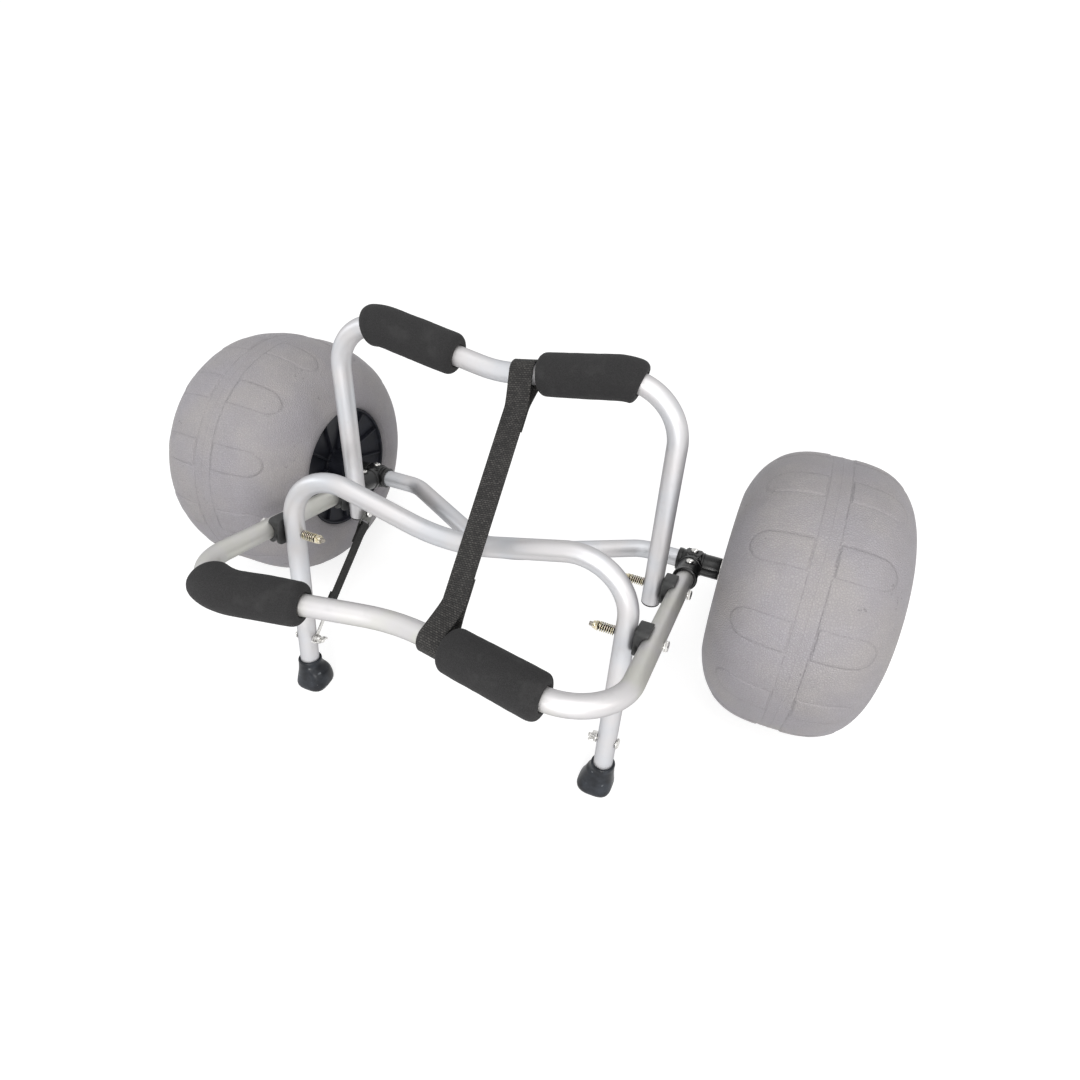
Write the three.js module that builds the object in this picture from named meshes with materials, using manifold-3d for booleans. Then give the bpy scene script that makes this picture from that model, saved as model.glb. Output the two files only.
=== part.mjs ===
// Folding two-wheel cart that carries a kayak. A base frame tilts up from a wheeled axle, a cradle frame and
// a stand hinge on its arms, and two webbing straps hold them open.
// Millimetres and degrees. +X runs across the cart, +Z is up, and the crossbars lie ahead of the axle, at -Y.
import * as THREE from "three";
import { mergeVertices } from "three/addons/utils/BufferGeometryUtils.js";
import Module from "manifold-3d";

const wasm = await Module();
wasm.setup();

// Clearances
const seatGap = 0.3;
const turningGap = 0.08;
const cutOverrun = 4;

// Tube of all the frames
const tubeDiameter = 20;
const tubeWall = 1.5;
const cornerBendRadius = 54;

// Base frame, measured along its arms from the axle
const armHalfSpacing = 207;
const baseIncline = 14.65;
const baseLength = 310.8;
const baseDip = 47.3;
const baseDipRadius = 150;

// Cradle frame at the rear, measured along its legs from its pivots
const rearPivotDistance = 75.9;
const rearLean = 6.65;
const rearRise = 222;
const rearTail = 21;
const rearDip = 30.1;
const rearDipRadius = 120;

// Stand, measured along its legs from its pivots
const standPivotDistance = 178.4;
const standLean = 11.25;
const standRise = 83.8;
const standDip = 44;
const standDipRadius = 190;
const tubeEndHeight = 8;

// Axle tube
const axleIncline = 8.85;
const axleStraight = 147;
const axleDip = 90;
const axleElbowRadius = 40;
const axleDipRadius = 60;

// Connectors between the axle tube, the arms and the stub axles
const connectorCollarRadius = 12.8;
const connectorCollarWidth = 4.5;
const connectorNeckRadius = 12.2;
const connectorNeckLength = 3.5;
const connectorBodyHalfWidth = 9.5;
const connectorBodyRadius = 13.5;
const connectorSleeveRadius = 12.6;
const connectorSleeveReach = 31.7;
const socketLength = 46;
const socketRadius = 12.6;
const socketLipRadius = 13.7;
const socketLipWidth = 5;
const armStart = 15;
const axleTubeInsert = 3;
const connectorScrewSpacing = 27;
const screwHeadRadius = 4.3;
const screwHeadHeight = 2;
const screwRadius = 2;
const screwLength = 2.2;

// Wheels
const wheelRadius = 150;
const crownHalfWidth = 93.2;
const crownWidthPower = 3.01;
const crownRadiusPower = 3.38;
const crownWidthShares = [0.38, 0.62, 0.79, 0.89, 0.935];
const seamHalfWidth = 8;
const tyreWall = 4.5;
const tyreLipRise = 3.5;
const tyreLipRound = 4;
const beadWidth = 9;
const hubRadius = 76;
const hubFaceInset = 13.5;
const hubWall = 4;
const hubDishDepth = 23.7;
const hubWebThickness = 5;
const hubBossRadius = 19;
const hubInnerInset = 3.2;
const hubOuterInset = 23.2;
const hubRibCount = 12;
const hubRibThickness = 3;
const hubRibHeight = 15;
const bushingWall = 3;
const stubAxleRadius = 8;
const stubAxleStart = 4.5;
const axleWasherRadius = 13;
const axleWasherThickness = 1.2;
const axleTipReach = 10.5;
const retainingPinRadius = 2;
const retainingPinSetback = 4;
const retainingPinLength = 26;
const retainingPinHeadRadius = 4;
const retainingPinHeadHeight = 3;
const retainingRingRadius = 12.5;
const retainingRingWire = 1.5;

// Hinge bolts, their spacers, springs and lock nuts
const spacerWeb = 6.7;
const spacerRadius = 14;
const spacerLip = 6.5;
const hingeBoltRadius = 3;
const boltHeadAcross = 10;
const boltHeadHeight = 4;
const boltTip = 2.5;
const springLength = 17;
const springWire = 1.1;
const springBoreGap = 0.45;
const springCurls = 7;
const springEndBend = 0.8;
const lockNutAcross = 9;
const lockNutLength = 5;

// Foam pads on the crossbars
const padRadius = 21;
const padLength = 98;
const padRound = 4;
const rearPadShare = 0.2413;
const frontPadShareRight = 0.2633;
const frontPadShareLeft = 0.4058;

// End caps, boots and the stand's fasteners
const endCapThickness = 1.6;
const bootLength = 33;
const bootCollarRadius = 12.6;
const bootCollarLength = 11;
const bootWaistHeight = 18;
const bootHalfWidth = 18.75;
const bootHalfDepth = 16.5;
const bootInset = 4.75;
const bootEdge = 1.6;
const bootEdgeHeight = 4;
const footBoltHeight = 63;
const footBoltHeadHeight = 2.6;
const wingNutRadius = 5.4;
const wingNutLength = 6;
const wingReach = 12;
const wingThickness = 2;

// Straps
const strapWidth = 24;
const strapThickness = 1.8;
const strapBarGap = 1.5;
const strapLayerGap = 0.5;
const strapSeamStart = 33;
const strapSeamLength = 26;
const strapTurnLength = 8;
const strapRearPadGap = 3;
const strapFrontPadGap = 1;
const strapSkewShare = 0.25;
const tetherWidth = 11.5;
const tetherThickness = 1.5;
const tetherSeamStart = 12;
const tetherSeamLength = 12;
const tetherTurnLength = 4;
const tetherBoltSetback = 6;
const rivetHeadRadius = 4.6;
const rivetHeadHeight = 3;
const rivetCollar = 1.6;
const rivetTailRadius = 4.2;
const rivetTailLength = 3;
const rivetTailReach = 5.8;
const tabWidth = 16;
const tabThickness = 1.5;
const tabMargin = 5.5;
const tabSlotWidth = 3.6;
const tabBarWidth = 2.4;
const upperTabReach = 14;
const lowerTabReach = 31;

// How finely round things are cut
const tubeSides = 12;
const boreSides = 6;
const roundSides = 16;
const smallSides = 12;
const wheelSides = 32;
const hubSides = 20;
const hexSides = 6;
const octagonSides = 8;
const bendStep = 17.5;
const loopStep = 25;
const springSteps = 8;
const springSides = 5;

// Sizes that follow from those above
const degree = Math.PI / 180;
const tubeRadius = tubeDiameter / 2;
const legHalfSpacing = armHalfSpacing - tubeDiameter - spacerWeb;
const rearPadStart = legHalfSpacing * rearPadShare;
const frontPadStartRight = armHalfSpacing * frontPadShareRight;
const frontPadStartLeft = armHalfSpacing * frontPadShareLeft;
const strapRearOffset = rearPadStart - strapRearPadGap - strapWidth / 2;
const strapFrontOffset = frontPadStartRight - strapFrontPadGap - strapWidth / 2;
const standPivotHeight = wheelRadius + standPivotDistance * Math.sin(baseIncline * degree);
const standDrop = (standPivotHeight - tubeEndHeight) / Math.cos(standLean * degree);
const footBoltDrop = (standPivotHeight - footBoltHeight) / Math.cos(standLean * degree);
const axleTubeEnd = armHalfSpacing + axleTubeInsert;
const sleeveEnd = armHalfSpacing + connectorSleeveReach;
const hubFaceReach = crownHalfWidth - hubFaceInset;
const hubWebReach = hubFaceReach - hubDishDepth;
const hubInnerReach = crownHalfWidth - hubInnerInset;
const hubOuterReach = crownHalfWidth - hubOuterInset;
const hubInnerFace = sleeveEnd + axleWasherThickness + 2 * seatGap;
const wheelCentre = hubInnerFace + hubInnerReach;
const hubOuterFace = wheelCentre + hubOuterReach;
const axleTip = hubOuterFace + axleTipReach;
const bushingRadius = stubAxleRadius + turningGap + bushingWall;
const springInnerRadius = hingeBoltRadius + springBoreGap;
const springMeanRadius = springInnerRadius + springWire / 2;

// Materials

const finishes = {
  tube: { color: 0xc9c9cc, roughness: 0.34, metalness: 0.85 },
  plastic: { color: 0x1c1d20, roughness: 0.45, metalness: 0 },
  foam: { color: 0x19191b, roughness: 0.95, metalness: 0 },
  webbing: { color: 0x121214, roughness: 0.85, metalness: 0 },
  rubber: { color: 0x232428, roughness: 0.7, metalness: 0 },
  tyre: { color: 0x969093, roughness: 0.6, metalness: 0 },
  steel: { color: 0xd5d2cc, roughness: 0.3, metalness: 0.9 },
  zinc: { color: 0xb79a6a, roughness: 0.35, metalness: 0.85 },
  nylon: { color: 0x2a2a2c, roughness: 0.5, metalness: 0 },
};

function piece(name, geometry, finish) {
  const mesh = new THREE.Mesh(geometry, new THREE.MeshStandardMaterial(finishes[finish]));
  mesh.name = name;
  return mesh;
}

// Solids for joining and cutting

function toSolid(geometry) {
  const bare = geometry.clone();
  bare.deleteAttribute("normal");
  bare.deleteAttribute("uv");
  const merged = mergeVertices(bare);
  const index = merged.index.array;
  const triangles = [];
  for (let i = 0; i < index.length; i += 3) {
    const [a, b, c] = [index[i], index[i + 1], index[i + 2]];
    if (a !== b && b !== c && c !== a) {
      triangles.push(a, b, c);
    }
  }
  return new wasm.Manifold(
    new wasm.Mesh({
      numProp: 3,
      vertProperties: new Float32Array(merged.attributes.position.array),
      triVerts: new Uint32Array(triangles),
    }),
  );
}

function toGeometry(solid) {
  const mesh = solid.getMesh();
  const geometry = new THREE.BufferGeometry();
  geometry.setAttribute("position", new THREE.BufferAttribute(new Float32Array(mesh.vertProperties), 3));
  geometry.setIndex(new THREE.BufferAttribute(new Uint32Array(mesh.triVerts), 1));
  geometry.computeVertexNormals();
  return geometry;
}

function joined(geometries) {
  return toGeometry(geometries.map(toSolid).reduce((sum, next) => sum.add(next)));
}

function cut(geometry, tools) {
  return toGeometry(tools.map(toSolid).reduce((rest, tool) => rest.subtract(tool), toSolid(geometry)));
}

// Round and prismatic shapes

// A cylinder along X from one place to another, with a flat on top.
function rodAlongX(from, to, radius, sides = roundSides) {
  const rod = new THREE.CylinderGeometry(radius, radius, Math.abs(to - from), sides);
  rod.rotateY(Math.PI / sides);
  rod.rotateZ(-Math.PI / 2);
  return rod.translate((from + to) / 2, 0, 0);
}

// A cylinder along Y, with a flat on top.
function rodAlongY(from, to, radius, sides = roundSides) {
  const rod = new THREE.CylinderGeometry(radius, radius, Math.abs(to - from), sides);
  rod.rotateY(Math.PI / sides);
  return rod.translate(0, (from + to) / 2, 0);
}

function rodAlongZ(from, to, radius, sides = smallSides) {
  const rod = new THREE.CylinderGeometry(radius, radius, Math.abs(to - from), sides);
  rod.rotateX(Math.PI / 2);
  return rod.translate(0, 0, (from + to) / 2);
}

// The radius of a faceted bore or rim whose flats stand at a given distance from its axis.
function acrossFlats(radius, sides) {
  return radius / Math.cos(Math.PI / sides);
}

// A body turned about the wheel axis, from [radius, place along X] pairs that go round its section.
function turned(section, sides, side) {
  const points = section.map(([radius, along]) => new THREE.Vector2(radius, along));
  points.push(points[0].clone());
  const lathe = new THREE.LatheGeometry(points, sides, Math.PI / sides);
  return lathe.rotateZ((-side * Math.PI) / 2);
}

// Bent tubes

// Places along a tube's centre line through corner points, each with a bend radius, and its direction there.
function route(corners) {
  const stations = [];
  const place = (point, tangent) => stations.push({ point, tangent: tangent.clone().normalize() });
  corners.forEach(({ at, radius }, i) => {
    const before = i > 0 ? at.clone().sub(corners[i - 1].at).normalize() : null;
    const after = i < corners.length - 1 ? corners[i + 1].at.clone().sub(at).normalize() : null;
    if (!before || !after) {
      place(at.clone(), before ?? after);
      return;
    }
    const angle = before.angleTo(after);
    const setback = radius * Math.tan(angle / 2);
    const inward = after.clone().sub(before).normalize();
    const centre = at.clone().addScaledVector(inward, radius / Math.cos(angle / 2));
    const start = at.clone().addScaledVector(before, -setback).sub(centre);
    const axis = before.clone().cross(after).normalize();
    const steps = Math.max(2, Math.ceil(angle / (bendStep * degree)));
    for (let k = 0; k <= steps; k += 1) {
      const turn = (angle * k) / steps;
      const point = start.clone().applyAxisAngle(axis, turn).add(centre);
      place(point, before.clone().applyAxisAngle(axis, turn));
    }
  });
  return stations;
}

class StationCurve extends THREE.Curve {
  constructor(stations) {
    super();
    this.stations = stations;
  }

  at(share) {
    return this.stations[Math.round(share * (this.stations.length - 1))];
  }

  getPointAt(share, target = new THREE.Vector3()) {
    return target.copy(this.at(share).point);
  }

  getTangentAt(share, target = new THREE.Vector3()) {
    return target.copy(this.at(share).tangent);
  }
}

function polygon(radius, sides) {
  return Array.from({ length: sides }, (_, k) => {
    const angle = (2 * Math.PI * k) / sides;
    return new THREE.Vector2(radius * Math.cos(angle), radius * Math.sin(angle));
  });
}

function sweep(stations, shape) {
  const curve = new StationCurve(stations);
  return new THREE.ExtrudeGeometry(shape, { steps: stations.length - 1, extrudePath: curve, bevelEnabled: false });
}

function tube(stations) {
  const section = new THREE.Shape(polygon(tubeRadius, tubeSides));
  section.holes.push(new THREE.Path(polygon(tubeRadius - tubeWall, boreSides)));
  return sweep(stations, section);
}

// The place and direction of a crossbar's centre line at a distance from the middle of the cart.
function crossbarAt(stations, x) {
  for (let i = 0; i < stations.length - 1; i += 1) {
    const [a, b] = [stations[i].point, stations[i + 1].point];
    if (a.x <= x && x <= b.x && b.x > a.x) {
      const share = (x - a.x) / (b.x - a.x);
      return { point: a.clone().lerp(b, share), tangent: b.clone().sub(a).normalize(), after: i, share };
    }
  }
  throw new Error(`no crossbar at x ${x}`);
}

const v = (x, y, z) => new THREE.Vector3(x, y, z);

// Centre lines, each in its own group: the base frame and the axle tube lie flat, the others stand upright.
const baseRoute = route([
  { at: v(-armHalfSpacing, -armStart, 0) },
  { at: v(-armHalfSpacing, -baseLength, 0), radius: cornerBendRadius },
  { at: v(0, baseDip - baseLength, 0), radius: baseDipRadius },
  { at: v(armHalfSpacing, -baseLength, 0), radius: cornerBendRadius },
  { at: v(armHalfSpacing, -armStart, 0) },
]);

const axleRoute = route([
  { at: v(-axleTubeEnd, 0, 0) },
  { at: v(-axleStraight, 0, 0), radius: axleElbowRadius },
  { at: v(0, -axleDip, 0), radius: axleDipRadius },
  { at: v(axleStraight, 0, 0), radius: axleElbowRadius },
  { at: v(axleTubeEnd, 0, 0) },
]);

function uprightRoute(drop, rise, dip, dipRadius) {
  return route([
    { at: v(-legHalfSpacing, 0, -drop) },
    { at: v(-legHalfSpacing, 0, rise), radius: cornerBendRadius },
    { at: v(0, 0, rise - dip), radius: dipRadius },
    { at: v(legHalfSpacing, 0, rise), radius: cornerBendRadius },
    { at: v(legHalfSpacing, 0, -drop) },
  ]);
}

const rearRoute = uprightRoute(rearTail, rearRise, rearDip, rearDipRadius);
const standRoute = uprightRoute(standDrop, standRise, standDip, standDipRadius);

// Groups

const cart = new THREE.Group();
const base = new THREE.Group();
base.position.z = wheelRadius;
base.rotation.x = -baseIncline * degree;
cart.add(base);

const rear = new THREE.Group();
rear.position.y = -rearPivotDistance;
rear.rotation.x = (baseIncline - rearLean) * degree;
base.add(rear);

const stand = new THREE.Group();
stand.position.y = -standPivotDistance;
stand.rotation.x = (baseIncline - standLean) * degree;
base.add(stand);

const axleGroup = new THREE.Group();
axleGroup.rotation.x = (baseIncline - axleIncline) * degree;
base.add(axleGroup);
cart.updateMatrixWorld(true);

function inCart(group, point) {
  return group.localToWorld(point.clone());
}

function turnedInCart(group, direction) {
  return direction.clone().transformDirection(group.matrixWorld);
}

const sides = [
  { side: -1, name: "left" },
  { side: 1, name: "right" },
];

// Hinges

function hingeHole(distance, radius, along) {
  const length = armHalfSpacing + tubeDiameter;
  const hole = rodAlongX(-length, length, acrossFlats(radius, smallSides), smallSides);
  return along === "y" ? hole.translate(0, distance, 0) : hole.translate(0, 0, distance);
}

function makeSpacer(side) {
  const legFace = side * (legHalfSpacing + tubeRadius + seatGap);
  const armFace = side * (armHalfSpacing - tubeRadius + spacerLip);
  const block = rodAlongX(legFace, armFace, spacerRadius);
  const armCut = rodAlongY(-spacerRadius - cutOverrun, spacerRadius + cutOverrun, tubeRadius + seatGap);
  armCut.scale(1 / Math.cos(Math.PI / roundSides), 1, 1 / Math.cos(Math.PI / roundSides));
  armCut.translate(side * armHalfSpacing, 0, 0);
  const hole = hingeHole(0, hingeBoltRadius + turningGap, "y");
  return cut(block, [armCut, hole]);
}

function boltAlongX(side, headFace, tip, headHeight) {
  const headEnd = headFace + side * headHeight;
  const head = rodAlongX(headFace, headEnd, acrossFlats(boltHeadAcross / 2, hexSides), hexSides);
  const shank = rodAlongX(headFace + (side * headHeight) / 2, tip, hingeBoltRadius, smallSides);
  return joined([head, shank]);
}

const legInnerFace = legHalfSpacing - tubeRadius;
const springStart = legInnerFace - seatGap;
const lockNutStart = springStart - springLength - seatGap;
const hingeBoltTip = lockNutStart - lockNutLength - boltTip;

function makeHingeBolt(side) {
  return boltAlongX(side, side * (armHalfSpacing + tubeRadius + seatGap), side * hingeBoltTip, boltHeadHeight);
}

function makeLockNut(side) {
  const radius = acrossFlats(lockNutAcross / 2, hexSides);
  const end = lockNutStart - lockNutLength;
  const body = rodAlongX(side * lockNutStart, side * end, radius, hexSides);
  return cut(body, [hingeHole(0, hingeBoltRadius + turningGap, "y")]);
}

// The spring's centre line: a straight end, a short bend into the helix, the curls, and the same at the far end.
function springRoute(side) {
  const rise = springLength - 2 * (springWire + springEndBend);
  const lead = springEndBend / springMeanRadius;
  const at = (along, angle) => {
    const x = side * (springStart - along);
    return v(x, springMeanRadius * Math.cos(angle), springMeanRadius * Math.sin(angle));
  };
  const half = Math.SQRT1_2;
  const points = [at(0, 0), at(springWire, 0), at(springWire + springEndBend * half, lead * (1 - half))];
  const steps = springCurls * springSteps;
  for (let k = 0; k <= steps; k += 1) {
    const along = springWire + springEndBend + (rise * k) / steps;
    points.push(at(along, lead + (2 * Math.PI * springCurls * k) / steps));
  }
  const last = lead + 2 * Math.PI * springCurls;
  points.push(at(springLength - springWire - springEndBend * half, last + lead * half));
  points.push(at(springLength - springWire, last + lead));
  points.push(at(springLength, last + lead));
  return points;
}

function stationsThrough(points) {
  return points.map((point, i) => {
    const next = points[Math.min(i + 1, points.length - 1)];
    const previous = points[Math.max(i - 1, 0)];
    const straightEnd = i === 1 ? point.clone().sub(previous) : null;
    const straightStart = i === points.length - 2 ? next.clone().sub(point) : null;
    const tangent = straightEnd ?? straightStart ?? next.clone().sub(previous);
    return { point, tangent: tangent.normalize() };
  });
}

function leastGapToItself(points, wire) {
  const halfCurl = Math.PI * springMeanRadius;
  let least = Infinity;
  for (let i = 0; i < points.length; i += 1) {
    let travelled = 0;
    for (let k = i + 1; k < points.length; k += 1) {
      travelled += points[k].distanceTo(points[k - 1]);
      if (travelled > halfCurl) {
        least = Math.min(least, points[i].distanceTo(points[k]) - wire);
      }
    }
  }
  return least;
}

function makeSpring(side) {
  const points = springRoute(side);
  console.log(`spring's least gap to itself: ${leastGapToItself(points, springWire).toFixed(2)} mm`);
  return sweep(stationsThrough(points), new THREE.Shape(polygon(springWire / 2, springSides)));
}

// Base frame, axle tube and connectors

function makeBaseFrame() {
  const holes = [rearPivotDistance, standPivotDistance].map((distance) =>
    hingeHole(-distance, hingeBoltRadius + turningGap, "y"),
  );
  return cut(tube(baseRoute), holes);
}

function connectorScrewSeats() {
  return [
    { along: 0, height: connectorBodyRadius },
    { along: connectorScrewSpacing, height: socketRadius },
  ];
}

function makeConnector(side) {
  const bodyIn = armHalfSpacing - connectorBodyHalfWidth;
  const bodyOut = armHalfSpacing + connectorBodyHalfWidth;
  const neckIn = bodyIn - connectorNeckLength;
  const collarIn = neckIn - connectorCollarWidth;
  const octagon = acrossFlats(connectorBodyRadius, octagonSides);
  const socket = acrossFlats(socketRadius, roundSides);
  const outside = [
    rodAlongX(side * collarIn, side * neckIn, connectorCollarRadius),
    rodAlongX(side * neckIn, side * armHalfSpacing, connectorNeckRadius),
    rodAlongX(side * bodyIn, side * bodyOut, octagon, octagonSides),
    rodAlongX(side * armHalfSpacing, side * sleeveEnd, connectorSleeveRadius),
    rodAlongY(0, -socketLength, socket).translate(side * armHalfSpacing, 0, 0),
    rodAlongY(socketLipWidth - socketLength, -socketLength, socketLipRadius).translate(side * armHalfSpacing, 0, 0),
  ];
  const tubeBore = acrossFlats(tubeRadius + seatGap, roundSides);
  const stubBore = acrossFlats(stubAxleRadius + seatGap, roundSides);
  const cuts = [
    rodAlongX(side * (collarIn - cutOverrun), side * (axleTubeEnd + seatGap), tubeBore),
    rodAlongX(side * axleTubeEnd, side * (sleeveEnd + cutOverrun), stubBore),
    rodAlongY(seatGap - armStart, -socketLength - cutOverrun, tubeBore).translate(side * armHalfSpacing, 0, 0),
  ];
  connectorScrewSeats().forEach(({ along, height }) => {
    const hole = rodAlongZ(height - screwLength - seatGap, height + cutOverrun, screwRadius + seatGap);
    cuts.push(hole.translate(side * armHalfSpacing, -along, 0));
  });
  return cut(joined(outside), cuts);
}

function makeConnectorScrew(side, { along, height }) {
  const headBase = height + seatGap;
  const head = rodAlongZ(headBase, headBase + screwHeadHeight, screwHeadRadius);
  const shank = rodAlongZ(height - screwLength, headBase + screwHeadHeight / 2, screwRadius);
  return joined([head, shank]).translate(side * armHalfSpacing, -along, 0);
}

// Wheels

function crownRadius(widthShare) {
  return wheelRadius * (1 - widthShare ** crownWidthPower) ** (1 / crownRadiusPower);
}

// Half of the tyre's outside, from the middle of the tread to its lip at the hub.
function tyreHalfOutside() {
  const bore = hubRadius + seatGap;
  const crown = crownWidthShares.map((share) => [crownRadius(share), crownHalfWidth * share]);
  const lip = [bore + tyreLipRound, hubFaceReach + tyreLipRise];
  const beadEdge = hubFaceReach - beadWidth;
  return [[wheelRadius, seamHalfWidth], ...crown, lip, [bore, hubFaceReach], [bore, beadEdge]];
}

function tyreHalfInside() {
  const bead = [hubRadius + seatGap + tyreWall, hubFaceReach - beadWidth];
  const [crown, , , wall] = crownWidthShares;
  return [
    [wheelRadius - tyreWall, seamHalfWidth],
    [crownRadius(crown) - tyreWall, crownHalfWidth * crown - tyreWall],
    [crownRadius(wall) - tyreWall, crownHalfWidth * wall - tyreWall],
    bead,
  ];
}

const mirrored = (section) => section.map(([radius, along]) => [radius, -along]);

function makeTyre(side) {
  const outside = [...mirrored(tyreHalfOutside()).reverse(), ...tyreHalfOutside()];
  const inside = [...tyreHalfInside().reverse(), ...mirrored(tyreHalfInside())];
  const section = [...outside, ...inside].map(([radius, along]) => [acrossFlats(radius, wheelSides), along]);
  return turned(section, wheelSides, side).translate(side * wheelCentre, 0, 0);
}

// One half of the hub: a barrel with a flange, a web and a boss, braced by ribs, facing along its own side.
function makeHubHalf(side, face, bossReach) {
  const bore = acrossFlats(bushingRadius + seatGap, roundSides);
  const barrel = hubRadius - hubWall;
  const barrelBore = barrel - hubWall;
  const section = [
    [bore, hubWebReach - hubWebThickness],
    [barrelBore, hubWebReach - hubWebThickness],
    [barrelBore, seatGap / 2],
    [barrel, seatGap / 2],
    [barrel, hubFaceReach - beadWidth],
    [hubRadius, hubFaceReach - beadWidth],
    [hubRadius, hubFaceReach],
    [barrelBore, hubFaceReach],
    [barrelBore, hubWebReach],
    [hubBossRadius, hubWebReach],
    [hubBossRadius, bossReach],
    [bore, bossReach],
  ];
  const ribs = Array.from({ length: hubRibCount }, (_, k) => {
    const length = barrelBore + hubWall / 2 - hubBossRadius + bushingWall;
    const rib = new THREE.BoxGeometry(hubRibHeight + hubWebThickness / 2, length, hubRibThickness);
    const middle = hubWebReach + hubRibHeight / 2 - hubWebThickness / 4;
    rib.translate(face * middle, hubBossRadius - bushingWall + length / 2, 0);
    return rib.rotateX((2 * Math.PI * (k + 1 / 2)) / hubRibCount);
  });
  return joined([turned(section, hubSides, face), ...ribs]).translate(side * wheelCentre, 0, 0);
}

function makeBushing(side) {
  const boreRadius = acrossFlats(stubAxleRadius + turningGap, roundSides);
  const bore = rodAlongX(-side * (hubInnerReach + cutOverrun), side * (hubOuterReach + cutOverrun), boreRadius);
  const body = rodAlongX(-side * hubInnerReach, side * hubOuterReach, bushingRadius);
  return cut(body, [bore]).translate(side * wheelCentre, 0, 0);
}

function makeStubAxle(side) {
  const start = side * (armHalfSpacing + stubAxleStart);
  const rod = rodAlongX(start, side * axleTip, stubAxleRadius);
  const pinHole = rodAlongZ(-tubeDiameter, tubeDiameter, retainingPinRadius + seatGap);
  return cut(rod, [pinHole.translate(side * (axleTip - retainingPinSetback), 0, 0)]);
}

function makeAxleWasher(side, start) {
  const disc = rodAlongX(side * start, side * (start + axleWasherThickness), axleWasherRadius);
  const bore = rodAlongX(0, side * axleTip, acrossFlats(stubAxleRadius + seatGap, roundSides));
  return cut(disc, [bore]);
}

// A straight pin through the axle's end, with a wire ring in its head.
function makeRetainingPin(side) {
  const headBase = stubAxleRadius + seatGap;
  const headTop = headBase + retainingPinHeadHeight;
  const pin = rodAlongZ(headTop - retainingPinLength, headTop - retainingPinHeadHeight / 2, retainingPinRadius);
  const head = rodAlongZ(headBase, headTop, retainingPinHeadRadius);
  const ring = new THREE.TorusGeometry(retainingRingRadius, retainingRingWire / 2, springSides, smallSides);
  ring.rotateY(Math.PI / 2);
  ring.translate(side * retainingPinHeadRadius, 0, headTop - retainingRingRadius - retainingRingWire);
  return joined([pin, head, ring]).translate(side * (axleTip - retainingPinSetback), 0, 0);
}

// Frames that fold

function makeUprightFrame(stations, extraHoles) {
  const pivotHole = hingeHole(0, hingeBoltRadius + turningGap, "z");
  return cut(tube(stations), [pivotHole, ...extraHoles]);
}

function makeEndCap(side) {
  const cap = rodAlongZ(-rearTail - seatGap - endCapThickness, -rearTail - seatGap, tubeRadius, tubeSides);
  return cap.translate(side * legHalfSpacing, 0, 0);
}

// Foam pads follow the crossbar's own facets, so the bore keeps its gap through a bend.

function lengths(stations) {
  const list = [0];
  for (let i = 1; i < stations.length; i += 1) {
    list.push(list[i - 1] + stations[i].point.distanceTo(stations[i - 1].point));
  }
  return list;
}

function bendOnto(geometry, stations) {
  const frames = new StationCurve(stations).computeFrenetFrames(stations.length - 1, false);
  const marks = lengths(stations);
  const position = geometry.attributes.position;
  const placed = (i, x, z) =>
    stations[i].point.clone().addScaledVector(frames.normals[i], x).addScaledVector(frames.binormals[i], -z);
  for (let k = 0; k < position.count; k += 1) {
    const [x, along, z] = [position.getX(k), position.getY(k), position.getZ(k)];
    const after = Math.min(marks.findIndex((mark) => mark > along), marks.length - 1);
    const share = (along - marks[after - 1]) / (marks[after] - marks[after - 1]);
    const point = placed(after - 1, x, z).lerp(placed(after, x, z), share);
    position.setXYZ(k, point.x, point.y, point.z);
  }
  return geometry;
}

function makePad(stations, side, startX) {
  const marks = lengths(stations);
  const near = crossbarAt(stations, side * startX);
  const first = marks[near.after] + near.share * (marks[near.after + 1] - marks[near.after]);
  const [start, end] = side > 0 ? [first, first + padLength] : [first - padLength, first];
  const inside = marks.filter((mark) => mark > start + padRound && mark < end - padRound);
  const bore = tubeRadius + seatGap / Math.cos(Math.PI / tubeSides);
  const shoulder = padRadius - padRound;
  const outside = [start + padRound, ...inside, end - padRound].map((mark) => [padRadius, mark]);
  const boreMarks = [end, ...inside.toReversed(), start].map((mark) => [bore, mark]);
  const section = [[shoulder, start], ...outside, [shoulder, end], ...boreMarks];
  const points = section.map(([radius, along]) => new THREE.Vector2(radius, along));
  points.push(points[0].clone());
  return bendOnto(new THREE.LatheGeometry(points, tubeSides), stations);
}

// Stand fittings

const legDirection = turnedInCart(stand, v(0, 0, 1));
const standPivot = inCart(stand, v(0, 0, 0));

// The leg's centre line, at a height above the floor.
function legAtHeight(height) {
  return standPivot.clone().addScaledVector(legDirection, (height - standPivot.z) / legDirection.z);
}

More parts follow.
